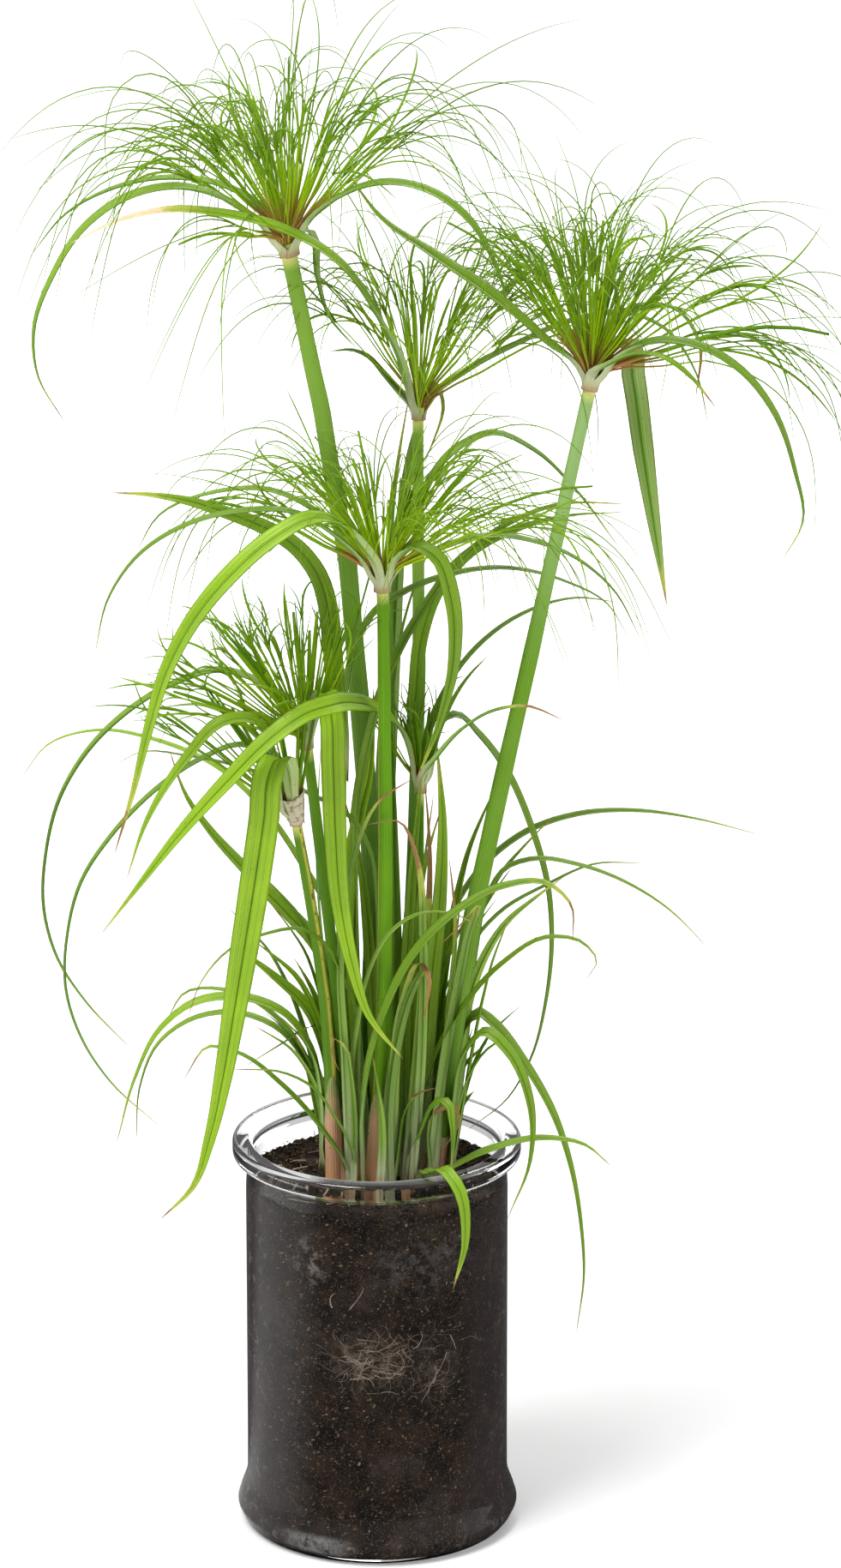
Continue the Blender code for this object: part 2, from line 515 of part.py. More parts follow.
def close_tip(bm, ring, place):
    tip = bm.verts.new(place)
    for k in range(len(ring)):
        bm.faces.new((ring[k], ring[(k + 1) % len(ring)], tip))


def route_length(points):
    return sum((b - a).length for a, b in zip(points, points[1:]))


def station_count(points):
    return max(LEAST_STATIONS, min(MOST_STATIONS, round(route_length(points) / STATION_SPACING)))


def make_bract(name):
    """Leaf blade that springs from the top of a culm, under its ray fan."""
    number, base_compass, faced, width, twist, route = BRACTS[name]
    top_radius = CULMS[number][0]
    culm = culm_stations(number)
    node = culm[-1]
    axis = (culm[-1] - culm[-2]).normalized()
    out = compass(base_compass)
    out = (out - axis * out.dot(axis)).normalized()
    start = node + out * (top_radius + BRACT_ROOM) - axis * BRACT_DROP
    rising = node + out * (top_radius + BRACT_RISE[0]) + axis * BRACT_RISE[1]
    points = [start, rising] + [seen(*point) for point in route]
    stations = smooth_route(points, station_count(points))
    bm = bmesh.new()
    base = top_radius * BRACT_BASE
    frames = blade_frames(stations, compass(base_compass), compass(faced), twist)
    rings = blade_rings(bm, stations, frames, base, width)
    skin_blade(bm, rings)
    edge, rib, other, keel = rings[0]
    bm.faces.new((edge, rib, keel))
    bm.faces.new((rib, other, keel))
    close_tip(bm, rings[-1], stations[-1])
    return finish_object(name, bm, LEAF_GREEN)


def nearest_order(corners, ring):
    """Corners of a face, started and wound so that each lies nearest its match in the ring."""
    starts = range(len(ring))
    orders = [way[start:] + way[:start] for way in (corners, corners[::-1]) for start in starts]
    return min(orders, key=lambda order: sum((a.co - b.co).length for a, b in zip(order, ring)))


def make_shoot(name):
    """Basal leaves that rise from one root: a low foot with a blade grown from each cell."""
    (x, y), row_compass, blades = SHOOTS[name]
    row = compass(row_compass) * SHOOT_CELL
    deep = Vector((-row.y, row.x, 0.0)) * 0.5
    foot = Vector((x, y, SOIL_TOP + FIT_GAP)) - row * len(blades) / 2
    rise = Vector((0, 0, SHOOT_FOOT))
    bm = bmesh.new()
    front = [bm.verts.new(foot + row * k - deep) for k in range(len(blades) + 1)]
    back = [bm.verts.new(foot + row * k + deep) for k in range(len(blades) + 1)]
    cells = [bm.faces.new((front[k], front[k + 1], back[k + 1], back[k])) for k in range(len(blades))]
    raised = bmesh.ops.extrude_face_region(bm, geom=cells, use_keep_orig=True)["geom"]
    bmesh.ops.translate(bm, vec=rise, verts=[v for v in raised if isinstance(v, bmesh.types.BMVert)])
    tops = sorted((f for f in raised if isinstance(f, bmesh.types.BMFace)),
                  key=lambda f: (f.calc_center_median() - foot).dot(row))
    for top, (width, faced, twist, route) in zip(tops, blades):
        centre = top.calc_center_median()
        points = [centre, centre + Vector((0, 0, SHOOT_RISE))] + [seen(*point) for point in route]
        stations = smooth_route(points, station_count(points))
        frames = blade_frames(stations, compass(faced), compass(faced), twist)
        rings = blade_rings(bm, stations, frames, SHOOT_CELL, width)
        bmesh.ops.delete(bm, geom=rings.pop(0), context="VERTS")
        root = nearest_order(list(top.verts), rings[0])
        bm.faces.remove(top)
        skin_blade(bm, [root] + rings)
        close_tip(bm, rings[-1], stations[-1])
    return finish_object(name, bm, LEAF_GREEN)


# --- Ray fans --------------------------------------------------------------------------------
def obstacle_tree():
    """Search tree over every piece made so far, in millimetres."""
    points = []
    faces = []
    for obj in bpy.data.objects:
        if obj.type == "MESH":
            first = len(points)
            points += [vertex.co / MM for vertex in obj.data.vertices]
            faces += [[first + index for index in polygon.vertices] for polygon in obj.data.polygons]
    return BVHTree.FromPolygons(points, faces)


def ray_point(root, direction, length, sag, share):
    """Place along a ray: straight at first, then arching out and down."""
    outward = Vector((direction.x, direction.y, 0.0))
    fall = (RAY_FALL + outward.length) * sag * length * share ** 3
    return root + direction * (length * share) + outward * (0.5 * fall) - Vector((0, 0, fall))


def ray_is_clear(tree, root, direction, length, sag):
    """Whether a ray bundle keeps its distance from every other piece."""
    for step in range(1, RAY_CHECKS + 1):
        share = step / RAY_CHECKS
        place = ray_point(root, direction, length, sag, share)
        room = RAY_CLEARANCE * ease(share / RAY_CLEAR_FROM) + RAY_RADII[0] * (1.0 - 0.5 * share)
        if tree.find_nearest(place, room)[0] is not None:
            return False
    return True


def clear_direction(tree, centre, dome, axis, wanted, taken, length, sag):
    """The free direction nearest to the wanted one, turned about the head's axis or raised."""
    for rise in RAY_RISES:
        for turn in RAY_TURNS:
            direction = Matrix.Rotation(radians(turn), 3, axis) @ wanted
            direction = direction.lerp(axis, rise).normalized()
            if any(direction.angle(other) < RAY_SPREAD for other in taken):
                continue
            if ray_is_clear(tree, centre + direction * dome, direction, length, sag):
                return direction
    return None


def ray_directions(axis, count, half_angle, lean):
    """Even spread of directions in a cone about the leaning head's axis."""
    middle = (axis + Vector((lean[0], lean[1], 0.0))).normalized()
    side = middle.cross(Vector((0, 1, 0))).normalized()
    front = middle.cross(side)
    for k in range(count):
        polar = radians(half_angle) * sqrt((k + 0.5) / count)
        turn = GOLDEN_ANGLE * k
        yield (middle * cos(polar) + (side * cos(turn) + front * sin(turn)) * sin(polar)).normalized()


def make_umbel(number, tree):
    """Ray fan: a small dome with a tapering bundle of rays drawn out of some of its facets."""
    count, length, half_angle, lean, sag = UMBELS[number]
    top_radius = CULMS[number][0]
    culm = culm_stations(number)
    axis = (culm[-1] - culm[-2]).normalized()
    dome = top_radius * DOME_RADIUS
    centre = culm[-1] + axis * FIT_GAP
    bm = bmesh.new()
    bmesh.ops.create_icosphere(bm, subdivisions=3, radius=dome, matrix=Matrix.Translation(centre))
    cut = bmesh.ops.bisect_plane(bm, geom=bm.verts[:] + bm.edges[:] + bm.faces[:], dist=0.001,
                                 plane_co=centre + axis * (DOME_CUT * dome), plane_no=axis,
                                 clear_inner=True)["geom_cut"]
    bmesh.ops.contextual_create(bm, geom=[e for e in cut if isinstance(e, bmesh.types.BMEdge)])
    bmesh.ops.translate(bm, verts=bm.verts, vec=axis * (-DOME_CUT * dome))
    free = [face for face in bm.faces
            if (face.calc_center_median() - centre).angle(axis) < radians(DOME_FACETS)]
    taken = []
    for k, wanted in enumerate(ray_directions(axis, count, half_angle, lean)):
        level = sqrt(wanted.x ** 2 + wanted.y ** 2)
        reach = length * (RAY_REACH[0] + RAY_REACH[1] * level + RAY_REACH[2] * sin(5.0 * k))
        direction = clear_direction(tree, centre, dome, axis, wanted, taken, reach, sag)
        if direction is None:
            continue
        face = max(free, key=lambda f: (f.calc_center_median() - centre).normalized().dot(direction))
        free.remove(face)
        taken.append(direction)
        grow_ray(bm, face, direction, reach, sag)
    return finish_object(f"umbel_{number}", bm, RAY_GREEN)


def grow_ray(bm, face, direction, length, sag):
    """Draw one facet out into a bundle that ends in a point."""
    root = face.calc_center_median()
    offsets = [(corner.co - root).normalized() for corner in face.verts]
    for share, radius in zip(RAY_STATIONS, RAY_RADII):
        face = bmesh.ops.extrude_discrete_faces(bm, faces=[face])["faces"][0]
        middle = ray_point(root, direction, length, sag, share)
        for corner, offset in zip(face.verts, offsets):
            corner.co = middle + offset * radius
    face = bmesh.ops.extrude_discrete_faces(bm, faces=[face])["faces"][0]
    tip = ray_point(root, direction, length, sag, 1.0)
    bmesh.ops.pointmerge(bm, verts=list(face.verts), merge_co=tip)


# --- The whole plant -------------------------------------------------------------------------
def main():
    for obj in list(bpy.data.objects):
        bpy.data.objects.remove(obj, do_unlink=True)
    stand = bpy.data.objects.new("potted_papyrus", None)
    bpy.context.collection.objects.link(stand)
    make_jar()
    make_soil()
    for number in CULMS:
        make_culm(number)
    for name in BRACTS:
        make_bract(name)
    for name in SHOOTS:
        make_shoot(name)
    for number in UMBELS:
        make_umbel(number, obstacle_tree())


main()
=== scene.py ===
# %% [markdown]
# # A young papyrus in a glass jar
# The solids of the jar, the soil, the culms, the blades and the ray fans come in as one fixed
# frame.  Each of them is replaced here by a finer piece that keeps its place and its size: the
# solids say where things are, and this file says what they look like.

# %% Load the frame
from math import cos, pi, radians, sin

import bmesh
import bpy
import numpy as np
from mathutils import Matrix, Vector, noise


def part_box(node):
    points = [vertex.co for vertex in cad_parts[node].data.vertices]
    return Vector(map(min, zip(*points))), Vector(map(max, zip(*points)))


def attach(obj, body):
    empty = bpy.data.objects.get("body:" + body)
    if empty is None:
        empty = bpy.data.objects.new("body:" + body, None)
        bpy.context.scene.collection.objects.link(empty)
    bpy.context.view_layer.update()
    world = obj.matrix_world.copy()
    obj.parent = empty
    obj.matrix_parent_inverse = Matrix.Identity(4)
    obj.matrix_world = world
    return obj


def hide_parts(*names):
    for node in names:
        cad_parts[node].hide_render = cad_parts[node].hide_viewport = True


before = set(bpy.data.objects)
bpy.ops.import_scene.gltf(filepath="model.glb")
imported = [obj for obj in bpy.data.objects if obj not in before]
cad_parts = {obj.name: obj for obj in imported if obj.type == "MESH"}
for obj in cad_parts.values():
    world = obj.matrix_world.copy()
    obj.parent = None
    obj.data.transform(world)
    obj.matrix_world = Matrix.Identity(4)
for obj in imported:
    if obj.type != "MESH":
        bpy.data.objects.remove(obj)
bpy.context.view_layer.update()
MM = 0.001
rng = np.random.default_rng(7)

# %% [markdown]
# ## Camera
# The photo was taken with a long lens from a little above the plant, so upright lines stay
# almost parallel.  A 174 mm lens 3.5 m away, tipped down 18 degrees, gives the same oval at the
# jar's rim and at its foot, and needs no shift.

# %% Camera
EYE = np.array([20.0, -3240.5, 1412.4])


def new_object(name, data):
    obj = bpy.data.objects.new(name, data)
    bpy.context.scene.collection.objects.link(obj)
    return obj


camera = new_object("camera", bpy.data.cameras.new("camera"))
camera.data.lens = 173.8
camera.data.sensor_width = 36.0
camera.data.clip_start = 0.1
camera.location = EYE * MM
camera.rotation_euler = (radians(90 - 18.06), 0.0, 0.0)
bpy.context.scene.camera = camera
print("lens", camera.data.lens, "mm")

# %% [markdown]
# ## Small helpers for shaders
# Every material is a net of nodes.  Drawn by hand, each sum or product in it is a Math node with
# links of its own.  Here an output of the net is reckoned with like a number, and every sign adds
# the node that it stands for.  A colour is built up like paint, one coat over another.

# %% Shader helpers
class Value:
    """One output of a node; a sign or a word used on it adds the next node."""

    def __init__(self, socket):
        self.socket, self.tree = socket, socket.id_data

    def do(self, operation, second=0.0):
        return add(self.tree, "Math", {0: self, 1: second}, operation=operation)

    def __add__(self, second):
        return self.do("ADD", second)

    def __sub__(self, second):
        return self.do("SUBTRACT", second)

    def __rsub__(self, first):
        return add(self.tree, "Math", {0: first, 1: self}, operation="SUBTRACT")

    def __mul__(self, second):
        return self.do("MULTIPLY", second)

    def step(self, low, high, to_low=0.0, to_high=1.0):
        """Smooth step from one range to another."""
        ranges = {0: self, 1: low, 2: high, 3: to_low, 4: to_high}
        return add(self.tree, "MapRange", ranges, interpolation_type="SMOOTHSTEP")

    def other(self, output):
        """Another output of the same node."""
        return Value(self.socket.node.outputs[output])


def join(value, socket):
    """Link a value to a socket, or set the socket to a number, a vector or a colour."""
    if isinstance(value, Value):
        value.tree.links.new(value.socket, socket)
    else:
        socket.default_value = (*value, 1.0) if socket.type == "RGBA" else value


def add(tree, kind, inputs=None, output=0, **settings):
    """Add a node, set its properties and inputs, and give back one of its outputs."""
    node = tree.nodes.new("ShaderNode" + kind)
    for key, value in settings.items():
        setattr(node, key, value)
    for key, value in (inputs or {}).items():
        join(value, node.inputs[key])
    return Value(node.outputs[output])


def tree_of(*values):
    return next(value.tree for value in values if isinstance(value, Value))


def mix(share, first, second):
    return add(tree_of(share, first, second), "Mix", {0: share, 6: first, 7: second}, 2, data_type="RGBA")


def coats(colour, *layers):
    """Lay coats, each a share and a colour, over a colour."""
    for share, coat in layers:
        colour = mix(share, colour, coat)
    return colour


def cloudy(place, scale, detail, rough=0.5):
    inputs = {"Vector": place, "Scale": scale, "Detail": detail, "Roughness": rough}
    return add(place.tree, "TexNoise", inputs)


def bump(height, strength, distance):
    return add(height.tree, "Bump", {"Height": height, "Strength": strength, "Distance": distance})


def carried(tree, *names):
    """The values that a mesh carries at its corners."""
    return [add(tree, "Attribute", output="Fac", attribute_name=name, attribute_type="GEOMETRY")
            for name in names]


def blade_map(tree):
    """The place across and along a piece, from its UV map."""
    across = add(tree, "SeparateXYZ", {0: add(tree, "UVMap", uv_map="blade")})
    return across, across.other(1)


def new_group(name, inputs, outputs):
    """A node group with named sockets: its tree, and its inputs as values."""
    tree = bpy.data.node_groups.new(name, "ShaderNodeTree")
    for way, labels in (("INPUT", inputs), ("OUTPUT", outputs)):
        for label in labels:
            kind = "NodeSocketVector" if label == "Place" else "NodeSocketFloat"
            tree.interface.new_socket(label, in_out=way, socket_type=kind)
    inside = tree.nodes.new("NodeGroupInput")
    return tree, *(Value(inside.outputs[label]) for label in inputs)


def give_out(tree, **results):
    outside = tree.nodes.new("NodeGroupOutput")
    for label, value in results.items():
        join(value, outside.inputs[label])


def use(group, **inputs):
    return add(tree_of(*inputs.values()), "Group", inputs, node_tree=group)


def new_material(name):
    """A material, its tree, and the place on the object that its patterns read."""
    material = bpy.data.materials.new(name)
    material.use_nodes = True
    return material, material.node_tree, add(material.node_tree, "TexCoord", output="Object")


def finish(material, colour, rough, gloss, others):
    """Join the shader of a material."""
    shader = material.node_tree.nodes["Principled BSDF"]
    inputs = {"Base Color": colour, "Roughness": rough, "Specular IOR Level": gloss, **others}
    for key, value in inputs.items():
        join(value, shader.inputs[key])


# %% [markdown]
# ## Floor, lights and surroundings
# A white floor that runs far behind the plant fills the whole picture.  It glows a little where
# it is far from the lamps, so that it stays white to the edge.  A photographer lays black cloth
# in front of a glass so that it does not mirror a white table: here the floor itself is darker
# for rays that a surface mirrors, most of all in front, and for rays that are mirrored inside
# the jar and fly on past it.  The light is an even room, darker on the side of the camera, with
# three soft boxes: a strong one high on the left, which draws the long pale gleams on the blades
# and drops a soft shadow to the right of the jar, a weak one on the right, which the glass does
# not mirror, and one behind.

# %% Floor
WHITE, BLACK = (1.0, 1.0, 1.0), (0.0, 0.0, 0.0)


def clear_selection():
    if bpy.context.object and bpy.context.object.mode != "OBJECT":
        bpy.ops.object.mode_set(mode="OBJECT")
    bpy.ops.object.select_all(action="DESELECT")


clear_selection()
bpy.ops.mesh.primitive_plane_add(size=1.0)
floor = bpy.context.object
floor.name = "floor"
floor.data.transform(Matrix.Diagonal((16.0, 16.0, 1.0, 1.0)))
white, tree, place = new_material("floor_white")
distance = add(tree, "VectorMath", {0: place}, "Value", operation="LENGTH")
leftward = add(tree, "SeparateXYZ", {0: place}).do("DIVIDE", distance)
glossy = add(tree, "LightPath", output="Glossy Depth")
mirrored = glossy.do("GREATER_THAN", glossy.other("Transmission Depth"))
within = glossy.do("GREATER_THAN", 0.5) * glossy.other("Ray Length").step(0.14, 0.24)
loss = mirrored.do("MAXIMUM", within) * (0.92 - leftward.step(-0.707, -0.985, 0.0, 0.45))
level = 1.0 - loss
glow = distance.step(0.3, 2.2, 0.10, 0.75) * level
finish(white, mix(level, BLACK, (0.93, 0.93, 0.93)), 0.9, 0.1,
       {"Emission Color": WHITE, "Emission Strength": glow})
floor.data.materials.append(white)
print("floor", tuple(floor.dimensions))

# %% Room and soft boxes
world = bpy.data.worlds.new("room")
world.use_nodes = True
room = world.node_tree
depth = add(room, "SeparateXYZ", {0: add(room, "TexCoord", output="Generated")}, 1)
depth = depth.step(-1.0, 0.4, 0.28, 0.64).do("MAXIMUM", add(room, "LightPath", output="Is Camera Ray"))
join(WHITE, room.nodes["Background"].inputs["Color"])
join(depth, room.nodes["Background"].inputs["Strength"])
bpy.context.scene.world = world


def soft_box(name, place, height, size, power):
    """A lamp that faces the upright axis of the plant at a height."""
    light = new_object(name, bpy.data.lights.new(name, "AREA"))
    light.data.shape = "RECTANGLE"
    light.data.size, light.data.size_y = size
    light.data.energy = power
    light.location = place
    light.rotation_euler = (Vector((0.0, 0.0, height)) - Vector(place)).to_track_quat("-Z", "Y").to_euler()
    return light


soft_box("key", (-0.90, -0.88, 2.60), 0.35, (1.1, 1.1), 66.0)
soft_box("fill", (1.9, -1.2, 1.2), 0.4, (0.8, 1.4), 13.0).visible_glossy = False
soft_box("back", (0.5, 2.0, 1.6), 0.4, (1.2, 0.8), 16.0)
bpy.context.scene.view_settings.view_transform = "Standard"

# %% [markdown]
# ## Veins
# A blade of this plant is ribbed along its whole length by fine parallel veins.  The group takes
# the place across and along a blade and gives back pale and dark lines and a height for the bump.
# Noise that is stretched along the blade keeps the lines from being all alike.

# %% Group: parallel veins
veins, across, along, count = new_group("parallel_veins", ["Across", "Along", "Count"], ["Line", "Height"])
streaks = cloudy(add(veins, "CombineXYZ", {0: across, 1: along * 0.05}), 22.0, 3.0, 0.7)
wave = (across * (count * (2 * pi)) + streaks * 6.0).do("SINE") * 0.5 + 0.5
give_out(veins, Line=wave * 0.45 + streaks * 0.65, Height=wave)
print("group", veins.name, len(veins.nodes), "nodes")

# %% [markdown]
# ## Ageing tips
# Sedge leaves dry from the point backwards: green turns to yellow, then to straw or brown, with
# a ragged edge where the colours meet.  The group turns the place along a blade, and how much of
# it is dry, into a yellow mask and a brown mask.

# %% Group: ageing tip
ageing, along, dry, place = new_group("ageing_tip", ["Along", "Dry", "Place"], ["Yellow", "Brown"])
past = along + (cloudy(place, 260.0, 2.0) - 0.5) * 0.10 - (1.0 - dry)
give_out(ageing, Yellow=past.step(-0.10, 0.02), Brown=past.step(0.0, 0.03))
print("group", ageing.name)

# %% [markdown]
# ## Mottle and specks
# Living tissue is never one flat green.  One group adds broad cloudy changes of tone, another
# small dark specks such as old damage and dirt leave.

# %% Groups: mottle and specks
mottle, place, scale = new_group("mottle", ["Place", "Scale"], ["Cloud"])
give_out(mottle, Cloud=cloudy(place, scale, 3.0, 0.6).step(0.3, 0.7))

specks, place, scale, size = new_group("specks", ["Place", "Scale", "Size"], ["Speck"])
cells = add(specks, "TexVoronoi", {"Vector": place, "Scale": scale}, "Distance")
rare = add(specks, "SeparateColor", {0: cells.other("Color")}).do("GREATER_THAN", 0.85)
give_out(specks, Speck=rare * cells.do("LESS_THAN", size))
print("groups", mottle.name, specks.name)

# %% [markdown]
# ## The leaf material
# The upper face of a blade is a glossy fresh green.  The lower face is greyer and duller, with a
# painted silvery sheen near its foot, and stays bright over the main vein.  The foot of a blade is
# pale, flushed with rust where it clasps the culm, and its tip ages.  The mesh carries what the shader
# needs: a UV map with the place across and along, and the values *tone*, *dry*, *under* and *base*.

# %% Material: leaf
LEAF_GLEAM = (1.0, 1.0, 0.60)


def leaf_material(name, straw):
    material, tree, place = new_material(name)
    across, along = blade_map(tree)
    tone, dry, under, base = carried(tree, "tone", "dry", "under", "base")
    line = use(veins, Across=across, Along=along, Count=11.0)
    yellow = use(ageing, Along=along, Dry=dry, Place=place)
    brown = yellow.other("Brown")
    cloud = use(mottle, Place=place, Scale=28.0)
    speck = use(specks, Place=place, Scale=420.0, Size=0.22)
    middle = (across - 0.5).do("ABSOLUTE")
    pleat = ((middle * 26.0).do("COSINE") + cloud * 0.6).step(-0.4, 1.3)
    # painted sheen: a pale silvery highlight on the lower face, strongest near the foot and striped along the
    # veins
    painted_sheen = along.step(0.04, 0.46, 0.85, 0.0) * under
    painted_sheen = painted_sheen * middle.step(0.05, 0.12, 0.25, 1.0) * line.step(0.25, 0.70, 0.45, 1.0)
    upper = coats(mix(tone, (0.030, 0.105, 0.002), (0.330, 0.560, 0.004)),
                  (cloud * 0.35, (0.100, 0.250, 0.005)))
    lower = coats(mix(tone, (0.210, 0.325, 0.095), (0.370, 0.530, 0.110)),
                  (middle.step(0.07, 0.15, 1.0, 0.0), (0.110, 0.310, 0.004)),
                  (middle.step(0.455, 0.490, 0.0, 0.55), (0.120, 0.080, 0.040)))
    green = coats(mix(under, upper, lower),
                  (pleat * 0.19, (0.034, 0.125, 0.004)),
                  (line.step(0.45, 0.85) * 0.42, (0.360, 0.520, 0.130)),
                  (middle.step(0.012, 0.035, 0.55, 0.0), (0.030, 0.100, 0.004)),
                  (painted_sheen, (0.500, 0.610, 0.300)),
                  (along.step(0.0, 0.16, 0.75, 0.0), (0.430, 0.440, 0.170)),
                  (base.step(0.0, 0.75) * 0.80, (0.560, 0.590, 0.370)),
                  ((base + line * 0.22).step(0.92, 1.10) * 0.75, (0.420, 0.190, 0.110)))
    worn = coats(green, (yellow, (0.480, 0.520, 0.090)), (brown, straw),
                 (speck * 0.32, (0.160, 0.110, 0.030)))
    rough = line * 0.16 + under * 0.16 + brown * 0.30 + 0.26
    finish(material, worn, rough, 0.42,
           {"Specular Tint": LEAF_GLEAM, "Normal": bump(line.other("Height"), 0.35, 0.0003)})
    return material


leaf_look = leaf_material("leaf", (0.330, 0.185, 0.070))
cream_look = leaf_material("leaf_cream_tip", (0.780, 0.620, 0.400))
print("materials", leaf_look.name, cream_look.name)

# %% [markdown]
# ## Reading the blades out of the solids
# Each blade of the frame is a lofted solid: rings of four corners (edge, rib, edge, keel) that end
# in a point.  A point is a corner with four faces whose neighbours form a small ring, so the rings
# can be walked from the point to the foot.  This keeps every finer blade exactly on its solid.

# %% Walk the rings of a blade
WELD = 2e-6
LARGEST_TIP_GIRTH = 0.02


def merged_copy(node):
    """A bmesh of a node with its loose triangles joined; the node itself stays as it is."""
    bm = bmesh.new()
    bm.from_mesh(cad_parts[node].data)
    bmesh.ops.remove_doubles(bm, verts=bm.verts, dist=WELD)
    return bm


def neighbours(corners):
    return {edge.other_vert(v) for v in corners for edge in v.link_edges}


def in_a_ring(corners):
    """The four corners in the order in which edges join them, or None."""
    first, *others = sorted(corners, key=lambda v: v.index)
    joined = {v: neighbours([v]) for v in corners}
    for a, b, c in ((0, 1, 2), (0, 2, 1), (1, 0, 2)):
        ring = [first, others[a], others[b], others[c]]
        if all(ring[k] in joined[ring[k - 1]] for k in range(4)):
            return ring
    return None


def walk_blades(node):
    """Each blade of a node as a list of rings of points, from the foot to the point."""
    bm = merged_copy(node)
    blades = []
    for tip in [v for v in bm.verts if len(v.link_faces) == 4]:
        ring = in_a_ring(neighbours([tip]))
        if not ring:
            continue
        girth = sum((ring[k].co - ring[k - 1].co).length for k in range(4))
        if girth > 2.2 * (ring[0].co - tip.co).length or girth > LARGEST_TIP_GIRTH:
            continue
        walked = {tip, *ring}
        rings = [[v.co.copy() for v in ring]]
        while True:
            following = neighbours(ring) - walked
            ring = in_a_ring(following) if len(following) == 4 else None
            if not ring:
                break
            walked |= following
            orders = [way[k:] + way[:k] for way in (ring, ring[::-1]) for k in range(4)]
            ring = min(orders, key=lambda way: sum((a.co - b).length for a, b in zip(way, rings[-1])))
            rings.append([v.co.copy() for v in ring])
        blades.append((rings[::-1], tip.co.copy()))
    bm.free()
    return blades


def name_corners(rings):
    """Rings as (edge, rib, edge, keel): the edges lie furthest apart, the keel is the deep corner."""
    wide = max(rings, key=lambda r: max((r[0] - r[2]).length, (r[1] - r[3]).length))
    shift = 0 if (wide[0] - wide[2]).length > (wide[1] - wide[3]).length else 1
    turned = wide[shift:] + wide[:shift]
    middle = (turned[0] + turned[2]) / 2
    if (turned[1] - middle).length > (turned[3] - middle).length:
        shift += 2
    return [r[shift:] + r[:shift] for r in rings]


blades = {node: walk_blades(node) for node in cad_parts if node.startswith(("bract", "basal"))}
print("blades", sum(len(found) for found in blades.values()), "on", len(blades), "nodes")

# %% [markdown]
# ## Curves, rings and pieces
# Blades, culms, rays and roots are all drawn the same way: a smooth line runs through a few
# places, rings of corners stand on it, and quads join each ring to the next.  The Curve tool
# with a bevel does this by hand, but it draws one even section.  Whole arrays of numbers let the
# section change on the way, and draw hundreds of rays at once.

# %% Curves, rings and pieces
def unit(vectors):
    return vectors / np.maximum(np.linalg.norm(vectors, axis=-1, keepdims=True), 1e-12)


def lengths(points):
    """How far along a line each of its points lies."""
    return np.concatenate([[0.0], np.cumsum(np.linalg.norm(np.diff(points, axis=0), axis=1))])


def between(t, start, start_slope, end, end_slope):
    """A smooth curve from one place to another, as t goes from 0 to 1."""
    return ((2 * t ** 3 - 3 * t ** 2 + 1) * start + (t ** 3 - 2 * t ** 2 + t) * start_slope
            + (3 * t ** 2 - 2 * t ** 3) * end + (t ** 3 - t ** 2) * end_slope)


def through(points, at, spots):
    """Smooth curve through points that lie at lengths *at*, read off at the lengths *spots*."""
    slopes = np.gradient(points, at, axis=0)
    k = np.clip(np.searchsorted(at, spots, side="right") - 1, 0, len(at) - 2)
    span = (at[k + 1] - at[k])[:, None]
    t = (spots - at[k])[:, None] / span
    return between(t, points[k], span * slopes[k], points[k + 1], span * slopes[k + 1])


def around(sides):
    return 2 * pi * np.arange(sides) / sides


def spokes(side, front, angles):
    """Directions round a line, from one way across it to the other."""
    return side[..., None, :] * np.cos(angles)[:, None] + front[..., None, :] * np.sin(angles)[:, None]


def ring_quads(index):
    """Quads between neighbouring rings; the last two axes of *index* are rings and corners."""
    beside = np.roll(index, -1, axis=-1)
    quads = [index[..., :-1, :], beside[..., :-1, :], beside[..., 1:, :], index[..., 1:, :]]
    return np.stack(quads, axis=-1).reshape(-1, 4)


def capped_rings(rows, sides, flip=1):
    """Faces of a closed tube of rings, with a cap on each end."""
    index = np.arange(rows * sides).reshape(rows, sides)
    faces = ring_quads(index)[:, ::-1].tolist() + [index[0].tolist(), index[-1, ::-1].tolist()]
    return faces if flip > 0 else [face[::-1] for face in faces]


def hand_over(piece, look, slot, *nodes):
    """Give a piece its material, hang it under the root body and hide the solids it replaces; *slot* is not
    used.
    """
    piece.data.materials.append(look)
    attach(piece, "root")
    for node in nodes:
        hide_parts(node)
    return piece


def make_piece(name, parts, look, slot, *nodes):
    """One smooth piece from parts; each part holds its points, faces, carried values and UVs."""
    faces, first = [], 0
    for points, sides, _, _ in parts:
        faces += [[first + k for k in side] for side in sides]
        first += len(points)
    mesh = bpy.data.meshes.new(name)
    mesh.from_pydata(np.vstack([part[0] for part in parts]).tolist(), [], faces)
    for key in parts[0][2]:
        numbers = np.concatenate([np.broadcast_to(part[2][key], len(part[0])) for part in parts])
        mesh.attributes.new(key, "FLOAT", "POINT").data.foreach_set("value", numbers.astype(np.float32))
    if parts[0][3] is not None:
        corners = np.zeros(len(mesh.loops), np.int32)
        mesh.loops.foreach_get("vertex_index", corners)
        uvs = np.vstack([part[3] for part in parts]).astype(np.float32)
        mesh.uv_layers.new(name="blade").data.foreach_set("uv", uvs[corners].ravel())
    mesh.shade_smooth()
    return hand_over(new_object(name, mesh), look, slot, *nodes)


# %% [markdown]
# ## Building a fine blade
# A cross-section with a sharp groove in the middle and two raised shoulders is drawn along the
# rings that were read.  An upper and a lower sheet give the blade its real thickness of about a
# third of a millimetre.  Under a ray fan the foot of a blade widens and clasps the culm, each
# layer a little outside the one before.

